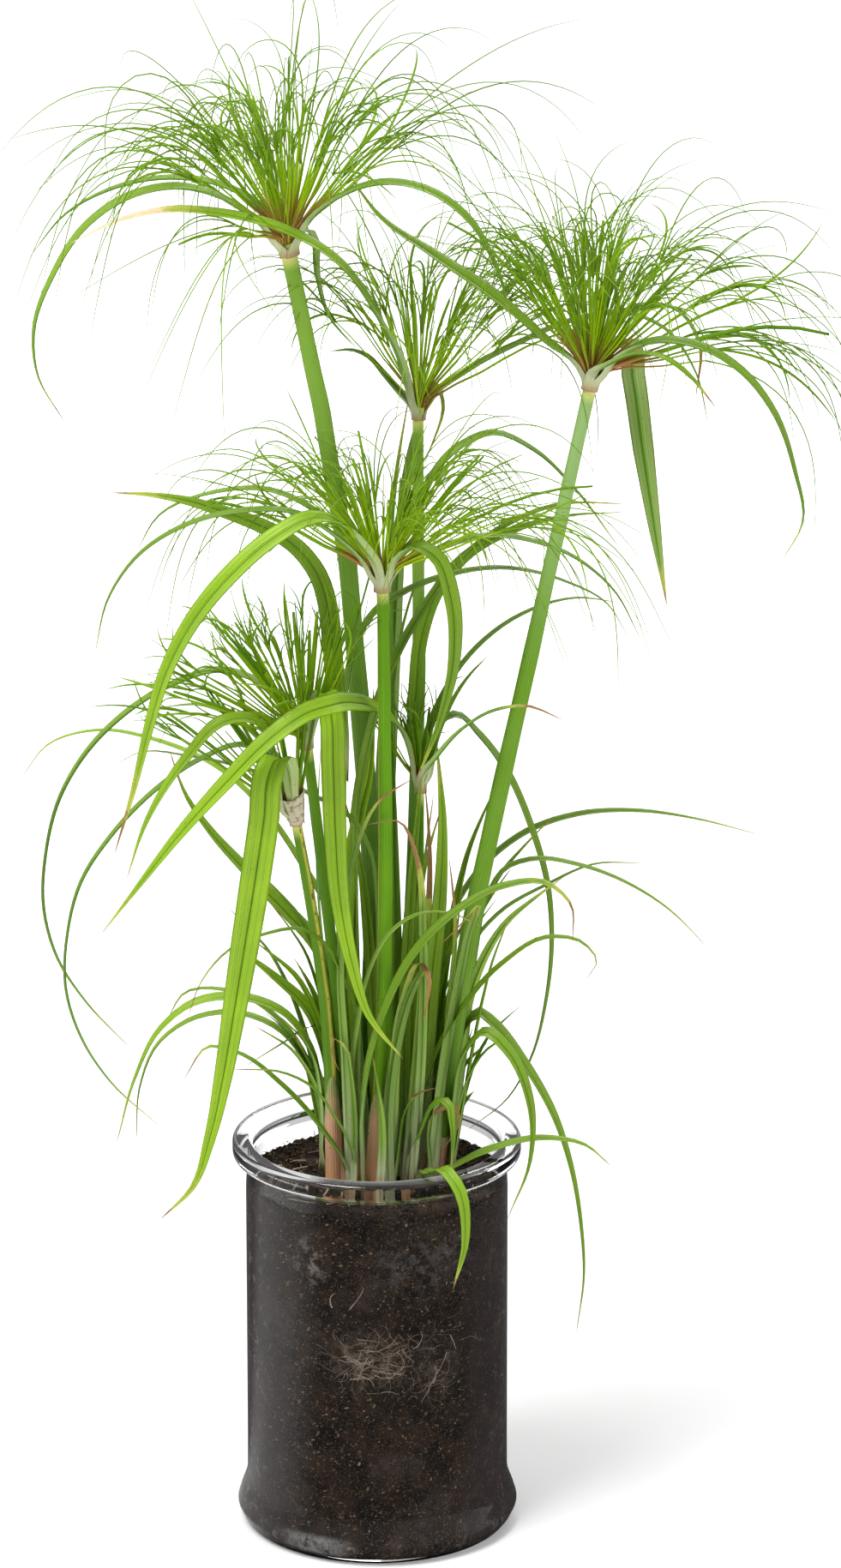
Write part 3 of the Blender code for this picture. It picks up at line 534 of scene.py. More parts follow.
# %% Loft a blade
CLASP, CLASP_ROWS, CLASP_SKIN = radians(80), 8, 0.35 * MM
RING_STEP = 0.0048
SECTION = np.array([-1.0, -0.82, -0.6, -0.4, -0.2, -0.06, 0.0, 0.06, 0.2, 0.4, 0.6, 0.82, 1.0])
UNDERSIDE = SECTION[1:-1]
GROOVE = 0.22 * np.abs(SECTION) + 0.11 * np.sin(pi * np.abs(SECTION)) - 0.06 * (np.abs(SECTION) < 0.03)
BODY = (1.0 - UNDERSIDE ** 2) ** 0.5 * 0.00022 + 0.00010 + 0.00035 * np.exp(-(UNDERSIDE / 0.12) ** 2)


def clasping_rows(loop, line, along, across, culm, layer):
    """Rows that widen from the rim of a culm to the first row of a blade."""
    middles, radii = culm
    top, radius = middles[-1], radii[-1] + (0.25 + 0.30 * layer) * MM
    axis = unit(middles[-1] - middles[-2])
    out = line[0] - top
    out = unit(out - axis * (out @ axis))
    side = np.cross(axis, out)
    angles = np.concatenate([SECTION, UNDERSIDE[::-1]]) * CLASP * np.sign(across[0] @ side)
    skin = np.repeat([0.0, CLASP_SKIN], [len(SECTION), len(UNDERSIDE)])
    rim = spokes(out, side, angles) * (radius + skin)[:, None] - out * radius
    start = top + out * radius - axis * (1.0 + 0.2 * layer) * MM
    length = np.linalg.norm(line[0] - start)
    rows = []
    for t in np.arange(CLASP_ROWS) / CLASP_ROWS:
        ease = t * t * (3 - 2 * t)
        middle = between(t, start, length * axis, line[0], length * along[0])
        rows.append(middle + rim * (1 - ease) + (loop[0] - line[0]) * ease)
    return np.array(rows)


def loft_blade(rings, tip, basal, culm=None, layer=0, fuller=1.0):
    """Points, faces, the values *under* and *base*, and UVs of one blade."""
    edge, rib, other, keel = np.array(name_corners(rings)).transpose(1, 0, 2)
    centre = np.vstack([rib, tip])
    at = lengths(centre)
    half = np.append(np.linalg.norm(other - edge, axis=1) / 2 * fuller, 0.0002)
    if basal:
        low = at < at[-1] * 0.22
        half[low] = np.maximum(half[low], 0.72 * half.max())
    count = max(16, int(at[-1] / RING_STEP))
    spots = np.linspace(0.0, at[-1], count)
    line, half = through(centre, at, spots), np.interp(spots, at, half)
    half[-1] = 0.00012
    along = unit(np.gradient(line, axis=0))
    ways = [unit(np.vstack([way, way[-1:]])) for way in (other - edge, rib - keel)]
    across, upward = (np.stack([np.interp(spots, at, way[:, k]) for k in range(3)], axis=1) for way in ways)
    across = unit(across - along * (across * along).sum(1, keepdims=True))
    normal = np.cross(along, across)
    flip = np.sign((normal * upward).sum())
    normal = normal * flip
    share = spots / at[-1]
    fold = np.ones((count, 1)) if basal else 1.0 + 1.3 * np.exp(-spots / 0.014)[:, None]
    lift = across[:, None] * SECTION[:, None] + normal[:, None] * (fold * GROOVE)[..., None]
    top = line[:, None] + lift * half[:, None, None]
    thick = np.minimum(BODY * (1.1 - 0.6 * share[:, None]), half[:, None] * 0.5)
    bottom = top[:, 1:-1] - normal[:, None] * thick[:, :, None]
    loop = np.concatenate([top, bottom[:, ::-1]], axis=1)
    base = np.zeros(count)
    if culm:
        first = int(np.searchsorted(spots, 0.0065))
        loop, line, along, across = loop[first:], line[first:], along[first:], across[first:]
        rows = clasping_rows(loop, line, along, across, culm, layer)
        from_rim = np.concatenate([np.linspace(0.0, 0.008, len(rows)), 0.008 + spots[first:] - spots[first]])
        share = np.concatenate([np.linspace(0.0, share[first], len(rows) + 1)[:-1], share[first:]])
        loop = np.concatenate([rows, loop])
        base, count = np.clip(1.0 - from_rim / 0.020, 0.0, 1.0), len(loop)
    size = loop.shape[1]
    place = (np.concatenate([SECTION, UNDERSIDE[::-1]]) + 1) / 2
    under = np.repeat([0.0, 1.0], [len(SECTION), len(UNDERSIDE)])
    uvs = np.stack([np.tile(place, count), np.repeat(share, size)], axis=1)
    faces = capped_rings(count, size, flip)
    return loop.reshape(-1, 3), faces, np.tile(under, count), np.repeat(base, size), uvs


def ribbon(line, width, face, twist=0.5, steps=13):
    """Rings and point of a blade along a line; *face* is where its upper side looks."""
    line = np.asarray(line, float)
    at = lengths(line)
    line = through(line, at, np.linspace(0.0, at[-1], steps))
    along = unit(np.gradient(line, axis=0))
    across = unit(np.cross(along, face))
    normal = np.cross(across, along)
    share = np.linspace(0.0, 1.0, steps)
    c, s = np.cos(twist * share)[:, None], np.sin(twist * share)[:, None]
    across, normal = across * c + normal * s, normal * c - across * s
    half = 0.5 * width * MM * (0.72 + 0.28 * np.sin(np.clip(share / 0.5, 0, 1) * pi / 2)) * (1 - share ** 3.2)
    wide, deep = across * half[:, None], normal * half[:, None]
    corners = np.stack([line - wide, line + deep * 0.10, line + wide, line - deep * 0.35], axis=1)
    return [[Vector(corner) for corner in ring] for ring in corners[:-1]], Vector(line[-1])


# %% [markdown]
# ## Reading the culms
# A culm is a leafless stem.  Its solid is cut by level planes to find its middle and its
# thickness at each height.  The last planes would cut its slanting top, so the line is carried
# on straight from there to the middle of the top.

# %% Read a culm
def culm_line(node, cuts=26):
    """Middles and radii of a culm at evenly spaced heights."""
    bm = merged_copy(node)
    low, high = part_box(node)
    middles, radii = [], []
    for z in np.linspace(low.z + 0.0002, high.z - 0.0035, cuts):
        ends = [[v.co for v in edge.verts] for edge in bm.edges]
        hits = [a.lerp(b, (z - a.z) / (b.z - a.z)) for a, b in ends if (a.z - z) * (b.z - z) < 0]
        middles.append(sum(hits, Vector()) / len(hits))
        radii.append(sum((hit - middles[-1]).length for hit in hits) / len(hits))
    bm.free()
    middles, radii = np.array(middles), np.array(radii)
    lean = unit(middles[-1] - middles[-3])
    rise = high.z - radii[-1] * np.hypot(lean[0], lean[1]) - middles[-1, 2]
    return np.vstack([middles, middles[-1] + lean * rise / lean[2]]), np.append(radii, radii[-1])


culms = {n: culm_line(f"culm_{n}") for n in range(1, 9)}
print("culm radii, mm", {n: (round(r[0] / MM, 1), round(r[-1] / MM, 1)) for n, (_, r) in culms.items()})

# %% [markdown]
# ## Making the leaves
# Every leaf gets a tone between deep and yellow green, and a share of its length that has dried,
# both read off the photo and listed in hundredths, head by head and shoot by shoot.  The
# foot of a blade can be paler than the rest of it.

# %% Leaves
# Some tones are partly painted light: leaves that catch the key light, such as bract_3c, bract_4a and
# basal_shoot_2, are given brighter, paler tones than their own green.
TONES_AND_PAINTED_LIGHT = {
    "bract_1": "a 42 3, b 45 6, c 30 3, d 22 3",
    "bract_2": "a 52 2, b 34 5, c 45 10, d 30 5, e 20 22",
    "bract_3": "a 45 3, b 28 3, c 72 10, d 42 5, e 38 5, f 42 3",
    "bract_4": "a 85 2, b 40 3",
    "bract_5": "a 88 3, b 38 3, c 60 2, d 72 3",
    "bract_6": "a 74 21, b 30 2, d 32 3",
    "bract_7": "a 78 3, b 32 3, c 45 3, d 42 3, e 52 22, f 45 3",
    "bract_8": "a 45 5, b 34 3",
    "basal_shoot_": "1 66 5, 2 80 4, 3 38 10, 4 36 22, 5 45 5, 6 55 6, 7 42 4, 8 46 4, 9 34 3, 10 14 4",
}
tones_and_painted_light = {}
for head, leaves in TONES_AND_PAINTED_LIGHT.items():
    for leaf in leaves.split(", "):
        end, tone, dry = leaf.split()
        tones_and_painted_light[head + end] = (int(tone) / 100, int(dry) / 100)
# The widths of blades that show the camera their face, in millimetres.
FACED, TOWARDS_CAMERA = {"bract_8a": 8.4}, (0.1, -1.0, 0.5)


def grow_leaf(name, plans, *nodes, basal=True, culm=None, look=leaf_look, fuller=1.0):
    """One piece of blades; a plan holds the rings, the point, the tone, the dry share and how pale it is."""
    shift = ord(name[-1]) % 4 if culm else 0
    parts = []
    for layer, (rings, tip, tone, dry, pale) in enumerate(plans, shift):
        points, faces, under, base, uvs = loft_blade(rings, tip, basal, culm, layer, fuller)
        foot = np.clip(pale * (1.0 - uvs[:, 1]) ** 6, 0.0, 0.88 if pale > 2.0 else 1.0)
        values = {"tone": min(max(tone, 0.02), 0.98), "dry": dry, "under": under * (0.6 if basal else 1.0),
                  "base": np.maximum(base, foot)}
        parts.append((points, faces, values, uvs))
    return make_piece(name, parts, look, "leaf", *nodes)


quads = 0
for node, found in blades.items():
    if node in FACED:
        lines = [[sum(ring, Vector()) / 4 for ring in rings] + [tip] for rings, tip in found]
        found = [ribbon(line, FACED[node], TOWARDS_CAMERA, 0.0) for line in lines]
    tone, dry = tones_and_painted_light[node]
    basal = node.startswith("basal")
    tone += 0.12 * basal
    plans = [(rings, tip, tone + 0.12 * sin(2.4 * k + len(node) + len(found)), dry, basal * 0.45)
             for k, (rings, tip) in enumerate(found)]
    leaf = grow_leaf(f"leaf_{node}", plans, node, basal=basal, culm=None if basal else culms[int(node[6])],
                     look=cream_look if node == "bract_6a" else leaf_look, fuller=1.25 if basal else 1.14)
    quads += len(leaf.data.polygons)
print("leaf quads", quads)

# %% [markdown]
# ## The culm material
# Fine ribs run up the stem.  The green is bright on the young culms and bluish on the old one,
# and a narrow pale ring marks the top, where the bracts were joined.  A streak that has yellowed
# and is spotted with brown can run up one side.

# %% Material: culm
def culm_material(name, low, high, edge, change=0.1):
    material, tree, place = new_material(name)
    across, along = blade_map(tree)
    ring, streak = carried(tree, "ring", "streak")
    line = use(veins, Across=across, Along=along, Count=22.0)
    blotch = streak * use(mottle, Place=place, Scale=170.0)
    green = coats(mix(along.step(change, 0.95), low, high),
                  (use(mottle, Place=place, Scale=22.0) * 0.28, edge),
                  (line.step(0.4, 0.9) * 0.26, (0.350, 0.520, 0.130)),
                  (ring, (0.720, 0.740, 0.220)),
                  (streak, (0.620, 0.560, 0.090)),
                  (blotch.step(0.55, 0.85, 0.0, 0.8), (0.110, 0.040, 0.015)),
                  (use(specks, Place=place, Scale=300.0, Size=0.2) * 0.4, (0.190, 0.160, 0.040)))
    finish(material, green, line * 0.14 + 0.30, 0.18,
           {"Specular Tint": (0.75, 1.0, 0.40), "Normal": bump(line.other("Height"), 0.3, 0.0002)})
    return material


old = culm_material("culm_old", (0.045, 0.150, 0.010), (0.200, 0.370, 0.040), (0.280, 0.430, 0.080))
blue = culm_material("culm_blue", (0.125, 0.280, 0.012), (0.290, 0.450, 0.170), (0.250, 0.400, 0.100), 0.62)
fresh = culm_material("culm_fresh", (0.085, 0.270, 0.001), (0.100, 0.290, 0.001), (0.240, 0.440, 0.004))
young = culm_material("culm_young", (0.055, 0.190, 0.002), (0.075, 0.220, 0.003), (0.190, 0.330, 0.015))
CULM_LOOKS = {1: old, 2: blue, 3: fresh, 4: young, 5: young, 6: old, 7: young, 8: young}
print("culm materials", len(set(CULM_LOOKS.values())))

# %% Draw the culms
STREAKS = {3: (0.95, 0.035), 5: (0.66, 0.050)}
NO_STREAK = (0.0, 0.001)
HEAD = 4.5 * MM
STEM_GIRTH = 1.08
SIDES, LOBES = 26, 0.07


def draw_tube(middles, radii, turn):
    """Points, faces and UVs of a softly three-sided tube along a line of middles."""
    at = lengths(middles)
    spots = np.linspace(0.0, at[-1], max(8, int(at[-1] / 0.006)))
    line, radius = through(middles, at, spots), np.interp(spots, at, radii)
    along = unit(np.gradient(line, axis=0))
    side = unit(np.cross(along, [0.0, 1.0, 0.0]))
    angles = around(SIDES)
    shape = (1.0 + LOBES * np.cos(3 * (angles + turn))) * radius[:, None]
    points = line[:, None] + spokes(side, np.cross(side, along), angles) * shape[..., None]
    uvs = np.stack([np.tile(angles / (2 * pi), len(line)), np.repeat(spots / at[-1], SIDES)], axis=1)
    return points.reshape(-1, 3), capped_rings(len(line), SIDES), uvs


def make_culm(number):
    middles, radii = culms[number]
    head = middles[-1] + unit(middles[-1] - middles[-2]) * HEAD
    middles, radii = np.vstack([middles, head]), np.append(radii, radii[-1] * 1.2)
    points, faces, uvs = draw_tube(middles, radii * STEM_GIRTH, 0.4 * number)
    ring = np.clip((uvs[:, 1] - 1.0) * lengths(middles)[-1] / HEAD + 2.35, 0.0, 1.0) ** 1.5
    place, width = STREAKS.get(number, NO_STREAK)
    away = np.abs((uvs[:, 0] - place + 0.5) % 1.0 - 0.5)
    streak = np.clip(1.5 - away / width, 0.0, 1.0) * (number in STREAKS)
    make_piece(f"stem_{number}", [(points, faces, {"ring": ring, "streak": streak}, uvs)],
               CULM_LOOKS[number], "culm", f"culm_{number}")
    return len(faces)


print("culm quads", sum(make_culm(n) for n in culms))

# %% [markdown]
# ## Glass
# Clear glass needs little: hardly any colour, full transmission and an index of refraction near
# 1.5.  Pressed glass is slightly wavy, which a low wide bump gives, and a few dull smears break up
# its gleams.

# %% Material: glass
glass, tree, place = new_material("clear_glass")
waves = cloudy(add(tree, "Mapping", {"Vector": place, "Scale": (1.0, 1.0, 0.35)}), 38.0, 1.0)
smears = cloudy(place, 60.0, 5.0).step(0.60, 0.80, 0.0, 0.16)
finish(glass, (0.97, 0.985, 0.98), smears, 0.12,
       {"Transmission Weight": 1.0, "IOR": 1.48, "Normal": bump(waves, 0.12, 0.0012)})
print("glass nodes", len(tree.nodes))

# %% [markdown]
# ## The glass jar
# The jar is a turned shape: one outline swept round an axis.  By hand this is the Spin tool on a
# row of corners.  The outline repeats the solid's measures, with a flat-topped flange at the rim
# and softer bends at the foot, and 160 steps keep its gleams smooth.

# %% Jar outline
BODY_RADIUS, HEIGHT, NECK, FLANGE, INNER = 60.0, 187.0, 58.9, 66.0, 57.0
FLARE = [(57.2, 26.0), (57.9, 20.5), (59.3, 16.0), (60.3, 12.0)]
CORNER, CORNER_RADIUS = (54.6, 8.5), 5.7


def arc(centre, radius, start, end, steps):
    turns = [radians(start + (end - start) * k / steps) for k in range(steps + 1)]
    return [(centre[0] + radius * cos(t), centre[1] + radius * sin(t)) for t in turns]


def jar_outline():
    """The outside from the middle of the foot up to the rim, then the inside down again."""
    line = [(0.0, 1.2), (46.0, 1.2), (50.0, 0.0), (57.5, 0.0)] + arc((58.2, 3.2), 3.2, -80, -40, 4)
    line += [(62.4, 3.4)] + arc((61.6, 8.6), 3.0, -30, 30, 5) + [(63.4, 13.0), (61.9, 17.0), (60.6, 20.6)]
    line += [(60.1, 24.5), (BODY_RADIUS, 40.0), (BODY_RADIUS, 105.0), (BODY_RADIUS, 163.0)]
    line += [(59.7, 168.5), (59.1, 173.0), (NECK, 175.5)] + arc((FLANGE - 2.6, 181.0), 2.6, -80, 0, 7)
    line += arc((FLANGE - 2.2, HEIGHT - 2.2), 2.2, 0, 86, 7)
    line += arc((INNER + 1.8, HEIGHT - 2.1), 1.8, 86, 180, 7)
    line += [(INNER, 176.0), (INNER, 120.0), (INNER, 60.0), (INNER, 32.0)] + FLARE
    return line + arc(CORNER, CORNER_RADIUS, 0, -90, 6) + [(0.0, 2.8)]


def spin(name, outline, steps):
    """Sweep an outline (radius, height) in millimetres round the upright axis."""
    mesh = bpy.data.meshes.new(name)
    edges = [(k, k + 1) for k in range(len(outline) - 1)]
    mesh.from_pydata([(r * MM, 0.0, z * MM) for r, z in outline], edges, [])
    obj = new_object(name, mesh)
    clear_selection()
    bpy.context.view_layer.objects.active = obj
    obj.select_set(True)
    bpy.ops.object.mode_set(mode="EDIT")
    bpy.ops.mesh.select_all(action="SELECT")
    bpy.ops.mesh.spin(steps=steps, angle=2 * pi, center=(0, 0, 0), axis=(0, 0, 1))
    bpy.ops.mesh.select_all(action="SELECT")
    bpy.ops.mesh.remove_doubles(threshold=1e-6)
    bpy.ops.mesh.normals_make_consistent(inside=False)
    bpy.ops.object.mode_set(mode="OBJECT")
    mesh.shade_smooth()
    return obj


jar = spin("jar", jar_outline(), 160)
jar.data.set_sharp_from_angle(angle=radians(40))
hand_over(jar, glass, "jar_glass", "glass_jar")
print("jar corners", len(jar.data.vertices))

# %% [markdown]
# ## Soil material
# Peat is nearly black and slightly red where it is moist.  Fibres and bits of bark lie in it as
# pale short dashes, and where a thin crust of lime has dried on the glass it is veiled in grey.

# %% Material: soil
peat, tree, place = new_material("peat")
east = add(tree, "SeparateXYZ", {0: place})
high = east.other(2)
BARK, FIBRE = (0.110, 0.058, 0.030), (0.460, 0.330, 0.210)
DASHES = [((0.5, 0.3, 0.0), 420.0, 0.20, 0.84), ((1.3, 0.9, 0.4), 560.0, 0.22, 0.84),
          ((0.9, -1.0, 1.3), 860.0, 0.25, 0.80), ((1.6, 0.2, 0.9), 260.0, 0.11, 0.93),
          ((0.2, 1.4, 0.2), 700.0, 0.22, 0.82)]


def patchy(scale, detail, low, top, rough=0.65):
    return cloudy(place, scale, detail, rough).step(low, top)


def dashes(direction, scale, size, share):
    """A coat of short pale dashes: Voronoi cells that are drawn out along one direction."""
    turned = add(tree, "Mapping", {"Vector": place, "Rotation": direction, "Scale": (1.0, 1.0, 3.6)},
                 vector_type="TEXTURE")
    cells = add(tree, "TexVoronoi", {"Vector": turned, "Scale": scale}, "Distance")
    pick = add(tree, "SeparateColor", {0: cells.other("Color")})
    mask = pick.do("GREATER_THAN", share) * cells.do("LESS_THAN", (pick.other(2) + 0.45) * size)
    return mask * 0.70, mix(pick.other(1).do("POWER", 2.5), BARK, FIBRE)


grain = patchy(420.0, 4.0, 0.58, 0.74, 0.7)
dark = coats(mix(patchy(90.0, 4.0, 0.35, 0.72), (0.0030, 0.0015, 0.0008), (0.0420, 0.0225, 0.0125)),
             (patchy(32.0, 5.0, 0.50, 0.72, 0.7) * 0.45, (0.070, 0.040, 0.024)),
             (grain, (0.105, 0.058, 0.031)),
             (patchy(1300.0, 3.0, 0.54, 0.67) * 0.8, (0.150, 0.098, 0.062)),
             (patchy(700.0, 2.0, 0.62, 0.72) * 0.8, (0.230, 0.165, 0.115)),
             *(dashes(*kind) for kind in DASHES))
print("peat nodes", len(tree.nodes))

# %% Haze and lime on the glass, and a painted reflection on the soil's flanks
STAINS = [((-0.029, 0.145), (0.010, 0.018), 0.80, (0.300, 0.260, 0.240)),
          ((0.020, 0.146), (0.036, 0.024), 0.55, (0.170, 0.145, 0.145)),
          ((-0.004, 0.099), (0.032, 0.022), 0.60, (0.200, 0.160, 0.135)),
          ((0.028, 0.095), (0.016, 0.020), 0.45, (0.200, 0.160, 0.135))]


def stain(centre, reach, share, colour):
    """A coat in a soft-edged oval on the front of the soil; both pairs are across and up, in metres."""
    (x, z), (wide, tall) = centre, reach
    flat = add(tree, "Mapping", {"Vector": place, "Location": (-x / wide, 0.0, -z / tall),
                                 "Scale": (1.0 / wide, 0.0, 1.0 / tall)})
    away = add(tree, "VectorMath", {0: flat}, "Value", operation="LENGTH")
    return away.step(1.0, 0.1) * patchy(170.0, 6.0, 0.47, 0.58, 0.8) * share, colour


side = high.step(0.1665, 0.1655)
haze = patchy(17.0, 3.0, 0.50, 0.68) * patchy(260.0, 4.0, 0.30, 0.65) * side
# painted reflection: lighter purplish-grey bands down the left and right flanks of the soil stand in for the
# glass mirroring the soft boxes
painted_side_reflection = east.step(-0.034, -0.046).do("MAXIMUM", east.step(0.036, 0.045)) * side
edge = east.step(-0.040, -0.057).do("MAXIMUM", high.step(0.015, 0.004))
edge = edge.do("MAXIMUM", east.step(0.042, 0.056, 0.0, 0.6))
lime = (east + 0.027).do("ABSOLUTE").step(0.020, 0.002) * (high.step(0.013, 0.009) * high.step(0.003, 0.005))
dark = coats(dark, (haze * 0.42, (0.130, 0.108, 0.104)),
             *(stain(*kind) for kind in STAINS),
             (painted_side_reflection * 0.50, (0.052, 0.034, 0.038)),
             (patchy(210.0, 5.0, 0.54, 0.70, 0.75) * edge * 0.55, (0.420, 0.400, 0.380)),
             (lime * patchy(120.0, 5.0, 0.36, 0.56, 0.75) * 0.70, (0.480, 0.470, 0.460)))
finish(peat, dark, 0.92, 0.20, {"Normal": bump(grain, 0.8, 0.0008)})
print("peat nodes with haze and lime", len(tree.nodes))

# %% [markdown]
# ## Soil
# Moist peat lies against the glass in some places and leaves thin gaps in others, which is why
# it looks black here and hazy there.  The side of the soil is therefore a fine skin whose crumbs
# reach the inner wall or stop just short of it.  Its top is rougher, with higher crumbs by the
# wall.

# %% Soil skin
SOIL_TOP = 168.0
CLUMP, CLUMP_RADIUS = (4.0, -2.0), 30.0


def soil_rise(x, y):
    """Height of the soil in millimetres, flat where the plant stands."""
    away = min(max((np.hypot(x - CLUMP[0], y - CLUMP[1]) - CLUMP_RADIUS) / 12.0, 0.0), 1.0)
    broad = noise.noise(Vector((x * 0.11, y * 0.11, 2.2)))
    fine = noise.fractal(Vector((x * 0.45, y * 0.45, 0.0)), 0.8, 2.0, 4)
    return SOIL_TOP + 2.2 * away * broad + (0.35 + 0.75 * away) * fine


def soil_outline():
    line = [(r, 3.0) for r in (0.0, 15.0, 30.0, 45.0)]
    line += arc(CORNER, CORNER_RADIUS + 0.05, -80, 0, 7) + [(r + 0.05, z) for r, z in FLARE[::-1]]
    line += [(INNER, z) for z in np.linspace(32.0, SOIL_TOP - 0.4, 112)]
    return line + [(r, SOIL_TOP) for r in np.linspace(INNER - 0.4, 0.0, 46)]


soil = spin("soil_body", soil_outline(), 290)
for corner in soil.data.vertices:
    x, y, z = (c / MM for c in corner.co)
    radius = np.hypot(x, y)
    if z > SOIL_TOP - 1.0:
        z = soil_rise(x, y)
    elif radius > 45.0 and z > 31.0:
        crumb = noise.fractal(Vector((x * 0.32, y * 0.32, z * 0.32)), 0.9, 2.0, 4)
        patch = noise.noise(Vector((x * 0.05, y * 0.05, z * 0.04 + 9.0)))
        reach = min(0.10, max(-0.9, 0.45 + 0.35 * crumb + 0.6 * patch))
        x, y = x * (1 + reach / radius), y * (1 + reach / radius)
    corner.co = (x * MM, y * MM, z * MM)
hand_over(soil, peat, "potting_soil", "soil")
print("soil corners", len(soil.data.vertices))

# %% [markdown]
# ## Crumbs
# One lump is made from a ball whose corners are pushed about.  It is then copied into a
# single mesh hundreds of times, each copy turned, stretched and sized by chance, most of them
# near the glass where the soil was poured and not pressed.

# %% Crumbs of soil
CRUMBS, CRUMBS_ON_GLASS, WALL_RADIUS = 1500, 420, 56.75
clear_selection()
bpy.ops.mesh.primitive_ico_sphere_add(subdivisions=2, radius=1.0)
lump = bpy.context.object
for corner in lump.data.vertices:
    corner.co *= 1.0 + 0.45 * noise.noise(corner.co * 1.7)
lump_points = np.array([v.co for v in lump.data.vertices])
lump_faces = [list(p.vertices) for p in lump.data.polygons]
bpy.data.objects.remove(lump)

places = []
for _ in range(CRUMBS):
    radius, angle = 56.0 * rng.uniform(0, 1) ** 0.35, rng.uniform(0, 2 * pi)
    size = 0.25 + 1.2 * rng.uniform(0, 1) ** 3
    x, y = (radius - size) * cos(angle), (radius - size) * sin(angle)
    places.append((x, y, soil_rise(x, y) + 0.3 * size, size))
for _ in range(CRUMBS_ON_GLASS):
    angle, size = rng.uniform(0, 2 * pi), 0.12 + 0.30 * rng.uniform(0, 1) ** 3
    x, y = WALL_RADIUS * cos(angle), WALL_RADIUS * sin(angle)
    places.append((x, y, SOIL_TOP + 0.3 + rng.exponential(1.0), size))

parts = []
for x, y, z, size in places:
    turn = Matrix.Rotation(rng.uniform(0, 2 * pi), 3, Vector(rng.normal(size=3)).normalized())
    stretch = size * rng.uniform(0.6, 1.25, 3)
    parts.append((((lump_points * stretch) @ np.array(turn).T + (x, y, z)) * MM, lump_faces, {}, None))
crumbs = make_piece("crumbs", parts, peat, "potting_soil")
print("crumb faces", len(crumbs.data.polygons))

# %% [markdown]
# ## Tubes for fine things
# Rays, roots and straws are all thin tubes along bent lines.  Hundreds of them are drawn at once
# with whole arrays of numbers, because one curve object for each would be slow and clumsy.

# %% Many tubes at once
def tubes(paths, radii, sides, values):
    """A part of many tubes; paths is (tubes, points, 3), and radii and values give a number a point."""
    along = unit(np.gradient(paths, axis=1))
    guide = unit(np.cross(unit(paths[:, -1] - paths[:, 0]), [0.13, 0.21, 1.0]))[:, None, :]
    side = unit(guide - along * (along * guide).sum(-1, keepdims=True))
    radii = np.broadcast_to(radii, paths.shape[:2])[:, :, None, None]
    points = paths[:, :, None] + spokes(side, np.cross(along, side), around(sides)) * radii
    index = np.arange(points[..., 0].size).reshape(points.shape[:3])
    faces = ring_quads(index).tolist() + np.concatenate([index[:, 0, ::-1], index[:, -1]]).tolist()
    values = {key: np.broadcast_to(value, paths.shape[:2]).repeat(sides) for key, value in values.items()}
    return points.reshape(-1, 3), faces, values, None


# %% [markdown]
# ## Where the rays go
# The solids hold about twenty bundles for each full head.  A bundle is read like a blade: from its
# point down to the dome, three corners at a time.  Every bundle then becomes several real rays,
# one of them on the bundle itself and the others turned a few degrees away from it, so that the
# fan fills evenly.

# %% Read the bundles of a ray fan
def walk_bundles(node):
    """Middle lines of the bundles of a fan, from the dome to the point, as (bundles, 5, 3)."""
    bm = merged_copy(node)
    lines = []
    for tip in [v for v in bm.verts if len(v.link_faces) == 3]:
        ring = [e.other_vert(tip) for e in tip.link_edges]
        if (ring[0].co - tip.co).length < 3.5 * MM:
            continue
        line, walked = [tip.co.copy()], {tip}
        while len(ring) == 3 and len(line) < 5:
            line.append(sum((v.co for v in ring), Vector()) / 3)
            walked |= set(ring)
            ring = list(neighbours(ring) - walked)
        if len(line) == 5:
            lines.append(line[::-1])
    bm.free()
    return np.array(lines)


bundles = {n: walk_bundles(f"umbel_{n}") for n in range(1, 8)}
print("bundles", {n: len(lines) for n, lines in bundles.items()})

# %% [markdown]
# ## The ray material
# Rays are rusty where they are packed together, then a clear yellow green, and darker towards
# their ends.  Threads are duller and a little greyer.

# %% Material: rays
ray_look, tree, place = new_material("ray")
along, tone, thin = carried(tree, "along", "tone", "thin")
cloud = use(mottle, Place=place, Scale=60.0)
near = mix(tone, (0.110, 0.270, 0.001), (0.430, 0.620, 0.002))
far = mix(tone, (0.040, 0.140, 0.002), (0.230, 0.420, 0.004))
rusty = (along + (cloud - 0.5) * 0.10).step(0.15, 0.33, 0.95, 0.0) * tone.step(0.98, 0.52)
green = coats(mix(along.step(0.22, 0.80), near, far),
              (cloud * 0.25, (0.180, 0.360, 0.004)),
              (thin * 0.35, (0.130, 0.230, 0.035)),
              (rusty, (0.420, 0.190, 0.060)))
finish(ray_look, green, 0.42, 0.22,
       {"Specular Tint": LEAF_GLEAM, "Normal": bump(cloudy(place, 900.0, 2.0), 0.25, 0.0002)})
print("ray nodes", len(tree.nodes))

# %% [markdown]
# ## Growing the rays
# A ray is straight and stiff for two thirds of its length.  There it splits into a few threads,
# which are so thin that they bend over under their own weight.  Each step of a thread turns its
# direction a little more towards the ground, which gives the even arcs of the real ones.  Some
# rays of a young head are still closed: they are thicker, dark and blunt.  A few more rays stand
# between the bundles and keep the heart of the fan full.

# %% Rays and threads
ROOM = np.array([[-0.176, -0.121, 0.0], [0.229, 0.135, 0.722]])


